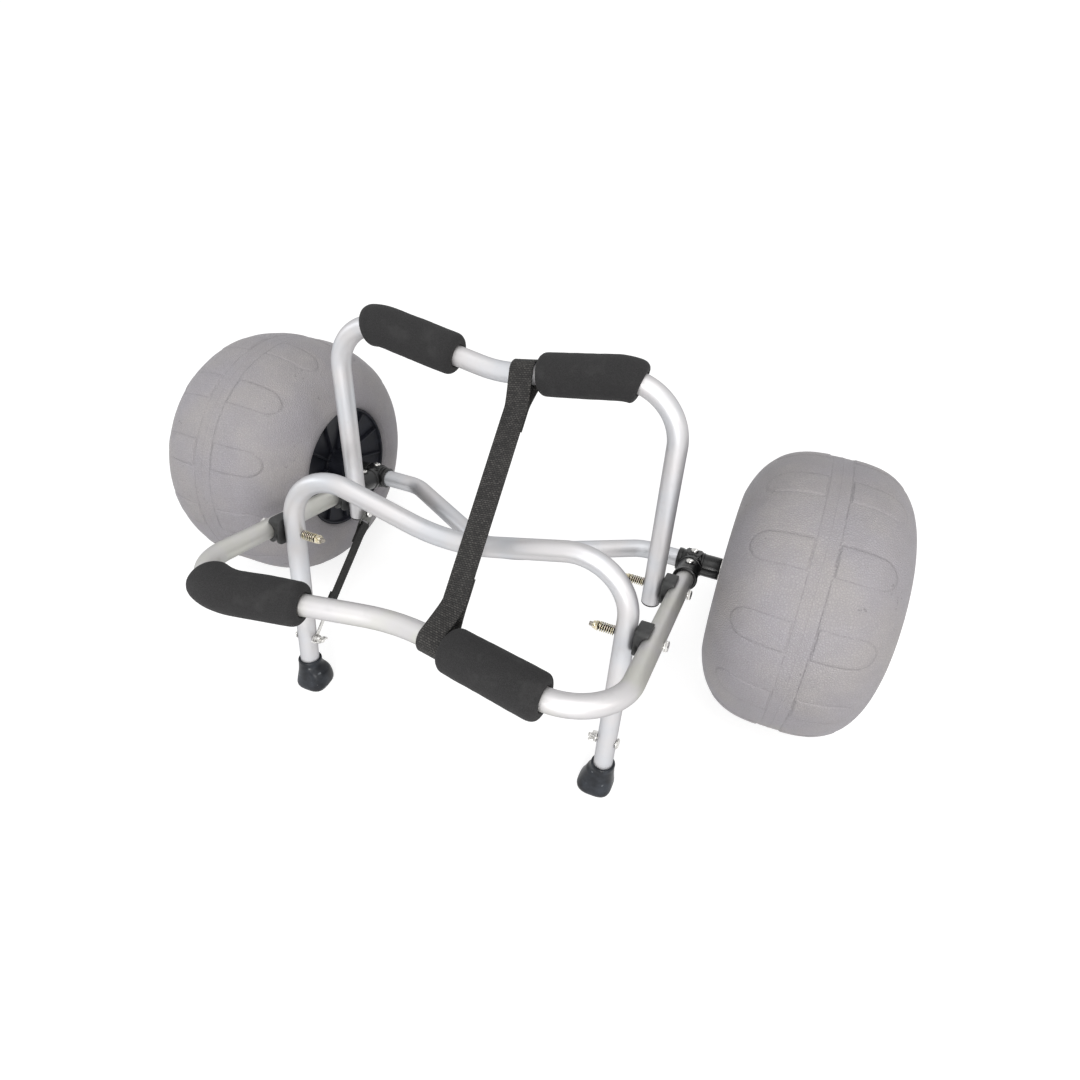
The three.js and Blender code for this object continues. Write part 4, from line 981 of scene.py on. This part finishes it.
def tyre_relief(along, radius, angles, phase):
    """How far the crown rises at each angle, and the distance outward from the nearest lobe's edge."""
    pitch = 2 * math.pi / LOBE_COUNT
    arc = ((angles - math.radians(phase) + pitch / 2) % pitch - pitch / 2) * WHEEL_RADIUS
    place = abs(along)
    outside = np.hypot(max(place - LOBE_END, 0), arc)
    edge = np.maximum(outside - LOBE_HALF, LOBE_START - place)
    rise = LOBE_RISE * smooth_step(LOBE_SOFTNESS, -LOBE_SOFTNESS, edge)
    rise -= LOBE_GROOVE * np.exp(-((edge - 0.5) / LOBE_SOFTNESS) ** 2)
    rise -= BAND_SINK * smooth_step(BAND_HALF + 1, BAND_HALF - 1, place)
    rise += PARTING_RISE * math.exp(-place ** 2) - BAND_SINK * math.exp(-(place - BAND_HALF) ** 2)
    rise += uneven(along, angles, phase, TYRE_WANDER, TYRE_RIPPLE)
    return rise * smooth_step(*RELIEF_FADE, radius) - TYRE_SETBACK, edge


def crown_line(half, radius, share):
    """Places of a balloon's section, at shares of its half width."""
    return np.stack([half * share, radius * (1 - share ** WIDTH_POWER) ** (1 / RADIUS_POWER)], 1)


def tyre(phase, side):
    """The balloon tyre: a soft crown with a moulding band round its middle and blind lobes on both sides.
    Returns the shape, and the relief's distances for its material."""
    spans = [np.linspace(0, 0.5, 40), np.linspace(0.5, 0.8, 26)[1:], np.linspace(0.8, 0.925, 18)[1:]]
    crown = crown_line(CROWN_HALF, WHEEL_RADIUS, np.concatenate(spans))
    inside = crown_line(CROWN_HALF - TYRE_WALL, WHEEL_RADIUS - TYRE_WALL,
                        np.array([0.93, 0.88, 0.8, 0.65, 0.45, 0.2]))
    half = np.concatenate([crown, TYRE_LIP, inside])
    profile = np.concatenate([half, (half * [-1, 1])[::-1][:-1]])
    on_crown = np.arange(len(half)) < len(crown)
    on_crown = np.concatenate([on_crown, on_crown[::-1][:-1]])
    angles = around(TYRE_STEPS)
    rings, edges = [], []
    for (along, radius), outside in zip(profile, on_crown):
        rise, edge = np.zeros(TYRE_STEPS), np.full(TYRE_STEPS, float(NO_RELIEF))
        if outside:
            rise, edge = tyre_relief(along, radius, angles, phase)
        rings.append(about_x(along, radius + rise, angles))
        edges.append(edge)
    return mirrored(grid(rings, looped=True), side), np.concatenate(edges)


def hub_half(boss_reach):
    """One half of the hub, facing along +X: flange, barrel, web, boss and ribs with softened edges."""
    barrel = HUB_RADIUS - HUB_WALL
    inner = barrel - HUB_WALL
    bead = HUB_FACE - BEAD_WIDTH
    rim = HUB_RADIUS - RIM_WIDTH
    back = WEB_REACH - WEB_THICKNESS
    shoulder = boss_reach - 3
    corners = [(back, HUB_BORE, 0.5), (back, inner, 2), (0.15, inner, 0.5), (0.15, barrel, 0.5),
               (bead, barrel, 0.5), (bead, HUB_RADIUS, 0.8), (HUB_FACE, HUB_RADIUS, 0.9),
               (HUB_FACE, rim, 0.9), (DISH_RIM + DISH_STEP, rim - 0.6, 0.8), (DISH_RIM, DISH_EDGE, 1),
               (DISH_FLOOR, BOSS_RADIUS + 0.5, 2.5), (shoulder, BOSS_RADIUS, 0.8),
               (shoulder, BOSS_RADIUS - 2, 0.6), (boss_reach, BOSS_RADIUS - 2.4, 0.8),
               (boss_reach, HUB_BORE, 0.6)]
    parts = [lathe(rounded(corners, 4), 128)]
    slope = (DISH_RIM - DISH_FLOOR) / (DISH_EDGE - BOSS_RADIUS)
    length = DISH_EDGE - BOSS_RADIUS + 2
    centre = (DISH_FLOOR + RIB_HEIGHT / 2 - 1, BOSS_RADIUS - 2 + length / 2, 0)
    for k in range(RIB_COUNT):
        rib = block((RIB_HEIGHT + 2, length, RIB_THICKNESS), centre, 0.8, 3)
        rib[0][:, 0] += slope * (rib[0][:, 1] - BOSS_RADIUS)
        parts.append(placed(rib, turn("X", 360 * (k + 0.5) / RIB_COUNT)))
    return merged(*parts)


def pin():
    """A straight pin through the axle's end with a wire ring through its head."""
    top = STUB_SEAT + 3
    shank = merged(rod(top - PIN_LENGTH, top - 1, PIN_RADIUS, 0.5), rod(top - 3, top, PIN_HEAD, 0.9))
    rings = [wire_ring(outward * PIN_RING, outward, [1, 0, 0], PIN_WIRE)
             for outward in about_x(0.0, 1, around(64))]
    ring = moved(grid(rings, looped=True), x=PIN_SETBACK, z=top - PIN_RING - 1.5)
    return merged(placed(shank, ALONG_Z), ring)


for name, side in SIDES:
    body = f"wheel_{name}"
    centre = side * WHEEL_CENTRE
    shape, edges = tyre(LOBE_PHASE[name], side)
    skin = make(f"balloon_tyre_{name}", shape, TYRE, WHEELS @ shift(centre), body, "balloon_tyre",
                f"tyre_{name}")
    relief = skin.data.attributes.new("relief", "FLOAT", "POINT")
    relief.data.foreach_set("value", edges.astype(np.float32))
    for kind, reach, facing in (("inner", INNER_REACH, -side), ("outer", OUTER_REACH, side)):
        half = moved(mirrored(hub_half(reach), facing), x=centre)
        make(f"hub_dish_{kind}_{name}", half, HUB_PLASTIC, WHEELS, body, "hub_plastic", f"hub_{kind}_{name}")
    sleeve = collar(WHEEL_CENTRE - INNER_REACH, WHEEL_CENTRE + OUTER_REACH, *BUSHING_RADII, 0.6)
    make(f"hub_bushing_{name}", mirrored(sleeve, side), NYLON, WHEELS, body, "nylon", f"bushing_{name}")
    make(f"axle_rod_{name}", mirrored(rod(AXLE_START, AXLE_END, STUB_RADIUS, 1.2, 48), side), STEEL, WHEELS,
         "base", "steel", f"stub_axle_{name}")
    for kind, face in (("inner", SLEEVE_END), ("outer", WHEEL_CENTRE + OUTER_REACH)):
        start = face + SEAT_GAP
        washer = collar(start, start + WASHER_THICKNESS, STUB_SEAT, WASHER_RADIUS, 0.35)
        make(f"flat_washer_{kind}_{name}", mirrored(washer, side), STEEL, WHEELS, "base", "steel",
             f"{kind}_washer_{name}")
    make(f"ring_pin_{name}", moved(mirrored(pin(), side), x=side * (AXLE_END - PIN_SETBACK)), STEEL, WHEELS,
         "base", "steel", f"retaining_pin_{name}")

# Stand fittings

WING_TURN = 70
WING_LENGTH = 6
EAR_SIZE = (6.6, 2, 9.5)
EAR_RISE = 7.2
BOOT_SIDES = 72
BOOT_LENGTH = 33
BOOT_COLLAR = 12.6
BOOT_HALF_WIDTH = 18.75
BOOT_HALF_DEPTH = 16.5
BOOT_INSET = 4.75
CAP_THICKNESS = 1.6
FOOT_BOLT_HEIGHT = 63
FOOT_HEAD_HEIGHT = 2.6
TAB_THICKNESS = 1.5
BOOT_TOE_SLOPE = 1.12
FOOT_BOLT_DROP = (STAND_PIVOT_HEIGHT - FOOT_BOLT_HEIGHT) / STAND_COS
WING_FACE = {"left": LEG_INNER - 2 * SEAT_GAP - TAB_THICKNESS, "right": LEG_INNER - SEAT_GAP}

# A boot's rings: share of the way up, flare of the skirt, flare of the toe, extra radius
BOOT_RINGS = ((0, 0.90, 0.90, -1.2), (0.015, 0.94, 0.94, -0.6), (0.05, 0.985, 0.97, -0.2), (0.11, 1, 0.99, 0),
              (0.18, 0.94, 1, 0), (0.28, 0.80, 0.99, 0), (0.38, 0.65, 0.97, 0), (0.48, 0.50, 0.93, 0),
              (0.56, 0.39, 0.87, 0), (0.62, 0.31, 0.78, 0), (0.67, 0.25, 0.62, 0), (0.71, 0.20, 0.38, 0),
              (0.75, 0.14, 0.18, 0), (0.80, 0.08, 0.08, 0), (0.85, 0.02, 0.02, 0), (0.88, 0, 0, 0.05),
              (0.95, 0, 0, 0.2), (0.985, 0, 0, -0.05), (1.0, 0, 0, -0.6))


def boot(side):
    """A rubber boot: a round collar with a lip, flaring to a flat sole that is wider towards the middle."""
    stand_in_cart = TO_CART @ STAND
    up_leg = np.array(stand_in_cart.to_3x3() @ Vector((0, 0, 1)))
    pivot = np.array(stand_in_cart.translation)
    foot = pivot - up_leg * pivot[2] / up_leg[2]
    full_lean = math.radians(STAND_LEAN)
    angles = around(BOOT_SIDES)
    c, s = np.cos(angles), np.sin(angles)
    toe = smooth_step(-0.15, -0.65, c)

    def level(up, across, back, lean):
        centre = foot + up_leg * BOOT_LENGTH * up
        return np.stack([across, centre[1] + back * math.cos(lean), centre[2] - back * math.sin(lean)], 1)

    rings = []
    for up, skirt, toe_flare, extra in BOOT_RINGS:
        if side > 0:
            toe_flare = min(toe_flare, max(skirt, BOOT_TOE_SLOPE * (1 - up)))
        flare = skirt + (toe_flare - skirt) * toe
        width = BOOT_COLLAR + (BOOT_HALF_WIDTH - BOOT_COLLAR) * flare + extra
        depth = BOOT_COLLAR + (BOOT_HALF_DEPTH - BOOT_COLLAR) * flare + extra
        power = 2 + 1.1 * flare * smooth_step(0.75, 0.1, up)
        scale = (np.abs(c) ** power + np.abs(s) ** power) ** (-1 / power)
        across = width * c * scale - BOOT_INSET * flare
        rings.append(level(up, across, depth * s * scale, full_lean * min(1, up * 1.4)))
    rings += [level(up, TUBE_SEAT * c, TUBE_SEAT * s, full_lean) for up in (1.0, 0.3)]
    rings[0][:, 2] = 0
    rings[1][:, 2] = 0.35
    return moved(mirrored(grid(rings), side), x=side * LEG_HALF)


def wing_nut(face):
    """A wing nut along X: a tapered body and two rounded ears, tightened to a slant."""
    end = face - WING_LENGTH
    body = lathe(rounded([(face, 3.08, 0.2), (face, 5.4, 0.3), (end, 4.4, 0.8), (end, 3.08, 0.2)], 3), 48)
    ears = []
    for up in (-1, 1):
        ear = block(EAR_SIZE, (0, 0, 0), 0.85, 3)
        points = ear[0]
        points[:, 0] *= 0.72 + 0.28 * smooth_step(-5, 3, points[:, 2] * up)
        corner = smooth_step(2.0, 5.0, points[:, 2] * up)
        points[:, 2] -= up * corner * (np.abs(points[:, 0]) / 3.3) ** 2 * 1.6
        ears.append(moved(ear, x=face - WING_LENGTH / 2 - 1.2, z=up * EAR_RISE))
    return placed(merged(body, *ears), turn("X", WING_TURN))


def end_cap():
    """A thin plug over the lower end of a leg of the cradle's frame."""
    face = -REAR_TAIL - SEAT_GAP
    profile = [(face, 0.5), (face, TUBE_RADIUS, 0.2), (face - CAP_THICKNESS, TUBE_RADIUS - 0.1, 1.0),
               (face - CAP_THICKNESS, 0.5)]
    return placed(lathe(rounded(profile, 4), 48, looped=False), ALONG_Z)


for name, side in SIDES:
    make(f"rubber_foot_{name}", boot(side), RUBBER, CART, "stand", "boot_rubber", f"boot_{name}")
    face = WING_FACE[name]
    bolt = hinge_bolt(LEG_OUTER + SEAT_GAP, face - WING_LENGTH - BOLT_TIP, FOOT_HEAD_HEIGHT, LEG_INNER - 1)
    for kind, shape, cad_node in (("hex_bolt", bolt, "foot_bolt"), ("wing_nut", wing_nut(face), "wing_nut")):
        shape = moved(mirrored(shape, side), z=-FOOT_BOLT_DROP)
        make(f"foot_{kind}_{name}", shape, STEEL, STAND, "stand", "steel", f"{cad_node}_{name}")
    make(f"leg_cap_{name}", moved(end_cap(), x=side * LEG_HALF), PLASTIC, REAR, "cradle", "black_plastic",
         f"rear_end_cap_{name}")

# Straps. A seam is its distance from the bar, its length and the length left loose at its ends. A sewn box is
# the distances along the seam of its two ends and its half width.

STRAP_WIDTH = 24
STRAP_THICKNESS = 1.8
BAR_GAP = 1.5
LAYER_GAP = 0.5
STRAP_SEAM = (33, 26, 8)
STRAP_BOX = (1, 21, 9)
SKEW_SHARE = 0.25
LOOP_STEP = 9
STRAP_STEP = 2.0
STRAP_REAR_X = 28.5
STRAP_FRONT_X = 41.5
MAIN_BLEND = (0.10, 0.60)
SELVEDGE = 0.7
STITCH_PITCH = 3.19
STITCH_SPAN = (0.15, 0.85)
STITCH_RADIUS = 0.32

# A stitch's rings: share of its length, girth, rise above the webbing
STITCH_RINGS = ((0, 0.3, -0.5), (0.06, 0.8, -0.1), (0.25, 1, 0.15), (0.5, 1, 0.2), (0.75, 1, 0.15),
                (0.94, 0.8, -0.1), (1, 0.3, -0.5))


def bar_at(line, plane, group, x):
    """A crossbar's centre and direction at x, in the cart's axes."""
    places, tangents, marks = line
    distance = mark_at(line, x)
    matrix = TO_CART @ group
    heading = np.array(matrix.to_3x3()) @ (read_at(marks, tangents, distance) @ plane[:2])
    point = in_group(read_at(marks, places, distance) @ plane[:2], matrix)
    return {"point": point, "tangent": unit(heading), "radius": TUBE_RADIUS, "gap": BAR_GAP}


def strap_end(bar, away, thickness, seam_start):
    """Where a strap that leaves a bar is sewn, and the directions ahead and up from the bar."""
    slide = away @ bar["tangent"]
    square = unit(away - bar["tangent"] * slide)
    ahead = square + bar["tangent"] * slide * SKEW_SHARE
    upward = unit(np.cross(square, bar["tangent"]))
    return {"bar": bar, "ahead": ahead, "upward": upward, "seam": bar["point"] + ahead * seam_start,
            "seam_start": seam_start, "radius": bar["radius"] + bar["gap"] + thickness / 2}


def strap_loop(end, layer):
    """Stations of the loop round a bar, from the lower layer of the seam to the upper one."""
    touch = math.acos(end["radius"] / math.hypot(end["seam_start"], layer))
    first = -math.atan2(layer, end["seam_start"]) - touch
    sweep = 2 * (math.pi + first)
    steps = math.ceil(math.degrees(sweep) / LOOP_STEP)
    angles = [first - sweep * k / steps for k in range(steps + 1)]
    flat = [(end["radius"] * math.cos(angle), end["radius"] * math.sin(angle)) for angle in angles]
    flat = [(end["seam_start"], -layer), *flat, (end["seam_start"], layer)]
    return [(end["bar"]["point"] + end["ahead"] * u + end["upward"] * n, end["bar"]["tangent"])
            for u, n in flat]


def turned_over(stations):
    return [(point, -across) for point, across in stations]


def strap_path(start_bar, end_bar, thickness, seam_start, seam_length, turn_length):
    """Stations of a strap that loops round two bars and is sewn back at both ends, and those of its seams."""
    away = unit(end_bar["point"] - start_bar["point"])
    layer = (thickness + LAYER_GAP) / 2
    start = strap_end(start_bar, away, thickness, seam_start)
    end = strap_end(dict(end_bar, tangent=-end_bar["tangent"]), -away, thickness, seam_start)
    length = np.linalg.norm(end["seam"] - start["seam"])
    along = unit(end["seam"] - start["seam"])
    ends = [unit(bar["tangent"] - along * (bar["tangent"] @ along)) for bar in (start_bar, end_bar)]

    def at(distance, level):
        share = float(smooth_step(seam_start, length - seam_start, distance))
        across = unit(ends[0] * (1 - share) + ends[1] * share)
        upward = unit(np.cross(along, across))
        return start["seam"] + along * distance + upward * level * layer, across

    middle = [at(d, 1) for d in np.linspace(seam_length, length - seam_length, 12)]
    run = [at(turn_length, 1), *middle, at(length - turn_length, 1)]
    tail = [at(seam_length, -1), at(turn_length, -1)]
    far_tail = [at(length - seam_length, -1), at(length - turn_length, -1)]
    far_loop = turned_over((turned_over(far_tail) + strap_loop(end, layer))[::-1])
    stations = tail + strap_loop(start, layer) + run + far_loop
    seams = [[at(d, 1) for d in np.linspace(low, low + seam_length - 4, 12)]
             for low in (2, length - seam_length + 2)]
    return stations, seams


def softened(line):
    """The same line with its corners cut twice, so that the webbing bends and never kinks."""
    for _ in range(2):
        a, b = line[:-1], line[1:]
        cut = np.empty((2 * len(a), line.shape[1]))
        cut[0::2], cut[1::2] = a * 0.75 + b * 0.25, a * 0.25 + b * 0.75
        cut[0], cut[-1] = line[0], line[-1]
        line = cut
    return line


def band(stations, width, thickness, spacing):
    """Webbing along stations: a flat band with rounded selvedges, slightly thicker at its edges."""
    line = softened(np.array([np.concatenate(station) for station in stations]))
    line[:, 3:] = units(line[:, 3:])
    marks = travelled(line[:, :3])
    wanted = np.linspace(0, marks[-1], int(marks[-1] / spacing))
    line = read_at(marks, line, wanted)
    points, across = line[:, :3], units(line[:, 3:])
    facing = units(np.cross(units(np.gradient(points, axis=0)), across))
    half, thick = width / 2, thickness / 2
    xs = np.linspace(SELVEDGE - half, half - SELVEDGE, 13)
    top = np.column_stack([xs, thick * (0.90 + 0.10 * (np.abs(xs) / half) ** 6)])
    upper = np.concatenate([top, [(half - 0.2, thick * 0.62), (half, 0), (half - 0.2, -thick * 0.62)]])
    section = np.concatenate([upper, -upper])
    rings, flats = [], []
    for point, side, up, mark in zip(points, across, facing, wanted):
        rings.append(point + section[:, :1] * side + section[:, 1:] * up)
        flats.append(np.column_stack([np.full(len(section), mark), section]))
    return grid(rings, flats)


def on_seam(seam, place, lift):
    """A point on a seam's upper face, from its distance and place across, and the way out of the face."""
    points, across = (np.array(part) for part in zip(*seam))
    marks = travelled(points)
    side = unit(read_at(marks, across, place[0]))
    up = unit(np.cross(unit(points[-1] - points[0]), side))
    return read_at(marks, points, place[0]) + side * place[1] + up * lift, up


def stitch(seam, start, end, lift):
    """One stitch of thread, between two places on a seam."""
    (first, up), (last, _) = on_seam(seam, start, lift), on_seam(seam, end, lift)
    side = unit(np.cross(last - first, up))
    rings = []
    for share, girth, rise in STITCH_RINGS:
        centre = first + (last - first) * share + up * rise * STITCH_RADIUS * 1.4
        rings.append(wire_ring(centre, side, up, STITCH_RADIUS * girth, 8))
    return grid(rings)


def stitches(seam, rows, lift):
    """Rows of short stitches over a seam, each row from one place on it to another."""
    shapes = []
    for row in rows:
        a, b = np.array(row, float)
        count = max(1, int(np.linalg.norm(b - a) / STITCH_PITCH))
        for k in range(count):
            start, end = (a + (b - a) * (k + share) / count for share in STITCH_SPAN)
            shapes.append(stitch(seam, start, end, lift))
    return merged(*shapes)


def crossed_box(near, far, half_width):
    """The rows of a sewn box with a cross in it."""
    corners = [(near, -half_width), (far, -half_width), (far, half_width), (near, half_width)]
    rows = [(corners[i], corners[(i + 1) % 4]) for i in range(4)]
    return rows + [(corners[0], corners[2]), (corners[1], corners[3])]


def make_strap(name, shape, material, a, b, bars, shares, *nodes):
    """A piece of a strap, made in the cart's axes with its placement baked into its points and attached to no
    body; a, b, bars and shares are not used.
    """
    piece = make(name, shape, material, CART, None, "webbing", *nodes)
    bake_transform(piece)


bars = bar_at(REAR_LINE, UPRIGHT, REAR, STRAP_REAR_X), bar_at(BASE_LINE, LYING, BASE, STRAP_FRONT_X)
stations, seams = strap_path(*bars, STRAP_THICKNESS, *STRAP_SEAM)
webbing_shape = band(stations, STRAP_WIDTH, STRAP_THICKNESS, STRAP_STEP)
make_strap("main_webbing", webbing_shape, WEBBING, "cradle", "base", bars, MAIN_BLEND, "main_strap")
rows = crossed_box(*STRAP_BOX)
threads = merged(*[stitches(seam, rows, STRAP_THICKNESS / 2) for seam in seams])
make_strap("main_webbing_stitches", threads, THREAD, "cradle", "base", bars, MAIN_BLEND)

# Tether: two tabs, a rivet and a narrow strap in two lengths that meet at its middle

TETHER_WIDTH = 15
TETHER_THICKNESS = 1.5
TETHER_STEP = 1.5
TETHER_SEAM = (12, 12, 4)
TETHER_BOX = (1, 7, 3.4)
TETHER_BLEND = {"upper": (0.04, 0.28), "lower": (0.6, 0.96)}
TAB_BAR = 2.4
TAB_SLOT = 3.6
TAB_WIDTH = 19
TAB_EYE = 5.6
TAB_NECK = 5
TAB_MARGIN = 5.5
UPPER_TAB_REACH = 14
LOWER_TAB_REACH = 31
RIVET_SETBACK = 6
RIVET_COLLAR = 1.6
RIVET_RADIUS = 3
RIVET_HEAD = 4.6
RIVET_TAIL = 5.8

rivet_place = np.array(TO_CART @ REAR @ Vector((0, 0, RIVET_SETBACK - REAR_TAIL)))
foot_place = np.array(TO_CART @ STAND @ Vector((0, 0, -FOOT_BOLT_DROP)))
tether_away = unit(foot_place - rivet_place)
upper_x = RIVET_COLLAR + 2 * SEAT_GAP + TAB_THICKNESS / 2 - LEG_INNER
lower_x = SEAT_GAP + TAB_THICKNESS / 2 - LEG_INNER


def tab_bar(x, bolt, away, reach):
    """The bar of a tab's slot, as bar_at gives a crossbar."""
    point = bolt + away * reach
    point[0] = x
    return {"point": point, "tangent": unit(np.cross([1, 0, 0], tether_away)), "radius": TAB_BAR / 2,
            "gap": LAYER_GAP}


def tab(x, bolt, away, reach, neck=None):
    """A pressed tab: a plate with a rounded end round its bolt and a slot for the tether. With a neck it is
    an eye, a narrow stem and a wider end for the slot."""
    far = reach + TAB_BAR / 2
    slot_near = reach - TAB_BAR / 2 - TAB_SLOT
    inner = TETHER_WIDTH / 2 + LAYER_GAP
    margin = TAB_WIDTH / 2 - inner

    def leaf(low, high, width, z=0.0):
        return block((TAB_THICKNESS, high - low, width), (0, (low + high) / 2, z), 0.35, 2)

    parts = [block((TAB_THICKNESS, TAB_BAR, TAB_WIDTH), (0, reach, 0), 0.5, 3)]
    if neck:
        parts += [rod(-TAB_THICKNESS / 2, TAB_THICKNESS / 2, TAB_EYE, 0.35), leaf(0, slot_near - 2, neck),
                  leaf(slot_near - 3, slot_near, TAB_WIDTH)]
    else:
        parts.append(leaf(-TAB_MARGIN, slot_near, TAB_WIDTH))
    parts += [leaf(slot_near - 1.2, far, margin, up * (inner + margin / 2)) for up in (-1, 1)]
    shape = merged(*parts)
    points = shape[0]
    points[:, 2] *= 1 - 0.28 * np.clip((-points[:, 1] - TAB_MARGIN + 4) / 4, 0, 1) ** 2
    points[:, 2] *= 1 - 0.06 * np.clip((points[:, 1] - far + 2) / 2, 0, 1) ** 2
    heading = math.degrees(math.atan2(away[2], away[1]))
    return moved(placed(shape, turn("X", heading)), x=x, y=bolt[1], z=bolt[2])


def rivet():
    """A domed rivet through the cradle's left leg, with a collar that holds its tab off the tube."""
    face = SEAT_GAP - LEG_INNER
    head = upper_x + TAB_THICKNESS / 2 + SEAT_GAP
    tail = RIVET_TAIL - LEG_HALF
    dome = rounded([(head, 0.5), (head, RIVET_HEAD, 0.3), (head + 3, 3.4, 2.2), (head + 3, 0.5)], 5)
    parts = [collar(face, face + RIVET_COLLAR, RIVET_RADIUS - 0.1, RIVET_HEAD, 0.3),
             lathe(dome, 40, looped=False), rod(tail - 1.5, head + 1, RIVET_RADIUS, 0.2),
             rod(tail - 3, tail, RIVET_RADIUS + 1.2, 0.9)]
    return moved(merged(*parts), z=RIVET_SETBACK - REAR_TAIL)


make("tether_dome_rivet", rivet(), STEEL, REAR, "cradle", "steel", "tether_rivet")
upper_tab = (upper_x, rivet_place, tether_away, UPPER_TAB_REACH)
lower_tab = (lower_x, foot_place, -tether_away, LOWER_TAB_REACH)
make("tether_plate_upper", tab(*upper_tab), TAB_STEEL, CART, "cradle", "steel", "tether_upper_tab")
make("tether_plate_lower", tab(*lower_tab, TAB_NECK), STEEL, CART, "stand", "steel", "tether_lower_tab")

bars = tab_bar(*upper_tab), tab_bar(*lower_tab)
stations, seams = strap_path(*bars, TETHER_THICKNESS, *TETHER_SEAM)
middle = len(stations) // 2
near, far, half = TETHER_BOX
rows = [((near, across), (far, across)) for across in (-half, half)]
rows += [((place, -half), (place, half)) for place in (near, far)]
for name, span, seam, a, b in (("upper", stations[:middle + 1], seams[0], "cradle", "base"),
                               ("lower", stations[middle:], seams[1], "base", "stand")):
    webbing_shape = band(span, TETHER_WIDTH, TETHER_THICKNESS, TETHER_STEP)
    make_strap(f"tether_webbing_{name}", webbing_shape, TAPE, a, b, bars, TETHER_BLEND[name], "tether_strap")
    threads = stitches(seam, rows, TETHER_THICKNESS / 2)
    make_strap(f"tether_stitches_{name}", threads, THREAD, a, b, bars, TETHER_BLEND[name])

# Floor, world and lamps

FLOOR_REACH = 400
FLOOR_COLOUR = 0.40
FLOOR_LIFT = 0.78
SKY_LOW = 0.34
SKY_HIGH = 0.46
SKY_TOP = 0.9
SUN_FROM = (0.25, -0.30, 1.0)
SUN_STRENGTH = 0.9
SUN_SPREAD = 50
SUN_COLOUR = (1.0, 0.995, 0.985)
LAMP_TARGET = (0, 0, 0.15)

# Name, place, size, watts and colour
LAMPS = (
    ("front", (0.60, -1.80, 0.80), 0.5, 19.0, (1.0, 0.99, 0.98)),
    ("right", (1.7, -0.7, 1.0), 0.5, 3.5, (1.0, 0.95, 0.90)),
    ("left", (-1.7, -0.6, 0.9), 0.5, 3.5, (0.92, 0.96, 1.0)),
)


def background_ray(tree):
    """1 for what the camera, a reflection or glass sees directly, and 0 for light on the object."""
    path = node(tree, "ShaderNodeLightPath").outputs
    direct = path["Is Camera Ray"]
    for ray in ("Is Glossy Ray", "Is Transmission Ray"):
        direct = node(tree, "ShaderNodeMath", {0: direct, 1: path[ray]}, operation="MAXIMUM").outputs[0]
    return direct


floor_mesh = bpy.data.meshes.new("floor")
corners = [(x * FLOOR_REACH, y * FLOOR_REACH, 0) for x, y in ((-1, -1), (1, -1), (1, 1), (-1, 1))]
floor_mesh.from_pydata(corners, [], [(0, 1, 2, 3)])
floor = bpy.data.objects.new("floor", floor_mesh)
bpy.context.scene.collection.objects.link(floor)
floor_paint = bpy.data.materials.new("floor")
floor_paint.use_nodes = True
tree = floor_paint.node_tree
shader = tree.nodes["Principled BSDF"]
shader.inputs["Base Color"].default_value = shade(FLOOR_COLOUR)
shader.inputs["Roughness"].default_value = 0.9
shader.inputs["Specular IOR Level"].default_value = 0.0
lift = node(tree, "ShaderNodeMath", {0: background_ray(tree), 1: FLOOR_LIFT}, operation="MULTIPLY").outputs[0]
glow = node(tree, "ShaderNodeEmission", {"Color": shade(1), "Strength": lift})
total = node(tree, "ShaderNodeAddShader", {0: shader.outputs[0], 1: glow.outputs[0]})
tree.links.new(total.outputs[0], tree.nodes["Material Output"].inputs["Surface"])
floor_mesh.materials.append(floor_paint)

world = bpy.data.worlds.new("studio")
bpy.context.scene.world = world
world.use_nodes = True
tree = world.node_tree
direction = node(tree, "ShaderNodeTexCoord").outputs["Generated"]
height = node(tree, "ShaderNodeSeparateXYZ", {0: direction}).outputs["Z"]
sky = {"Value": height, "From Min": 0.0, "From Max": SKY_TOP, "To Min": SKY_LOW, "To Max": SKY_HIGH}
level = node(tree, "ShaderNodeMapRange", sky).outputs["Result"]
strength = node(tree, "ShaderNodeMix", {0: background_ray(tree), 2: level, 3: 1.0}).outputs[0]
tree.links.new(strength, tree.nodes["Background"].inputs["Strength"])
tree.nodes["Background"].inputs["Color"].default_value = shade(1)


def add_lamp(name, kind, spot, energy, colour):
    lamp = bpy.data.lights.new(name, kind)
    lamp.energy = energy
    lamp.color = colour
    holder = bpy.data.objects.new(name, lamp)
    holder.location = spot
    holder.rotation_euler = (Vector(LAMP_TARGET) - Vector(spot)).to_track_quat("-Z", "Y").to_euler()
    holder.visible_camera = False
    bpy.context.scene.collection.objects.link(holder)
    return lamp


sun = add_lamp("sun", "SUN", Vector(LAMP_TARGET) + Vector(SUN_FROM), SUN_STRENGTH, SUN_COLOUR)
sun.angle = math.radians(SUN_SPREAD)
for name, spot, size, watts, colour in LAMPS:
    add_lamp(name, "AREA", spot, watts, colour).size = size
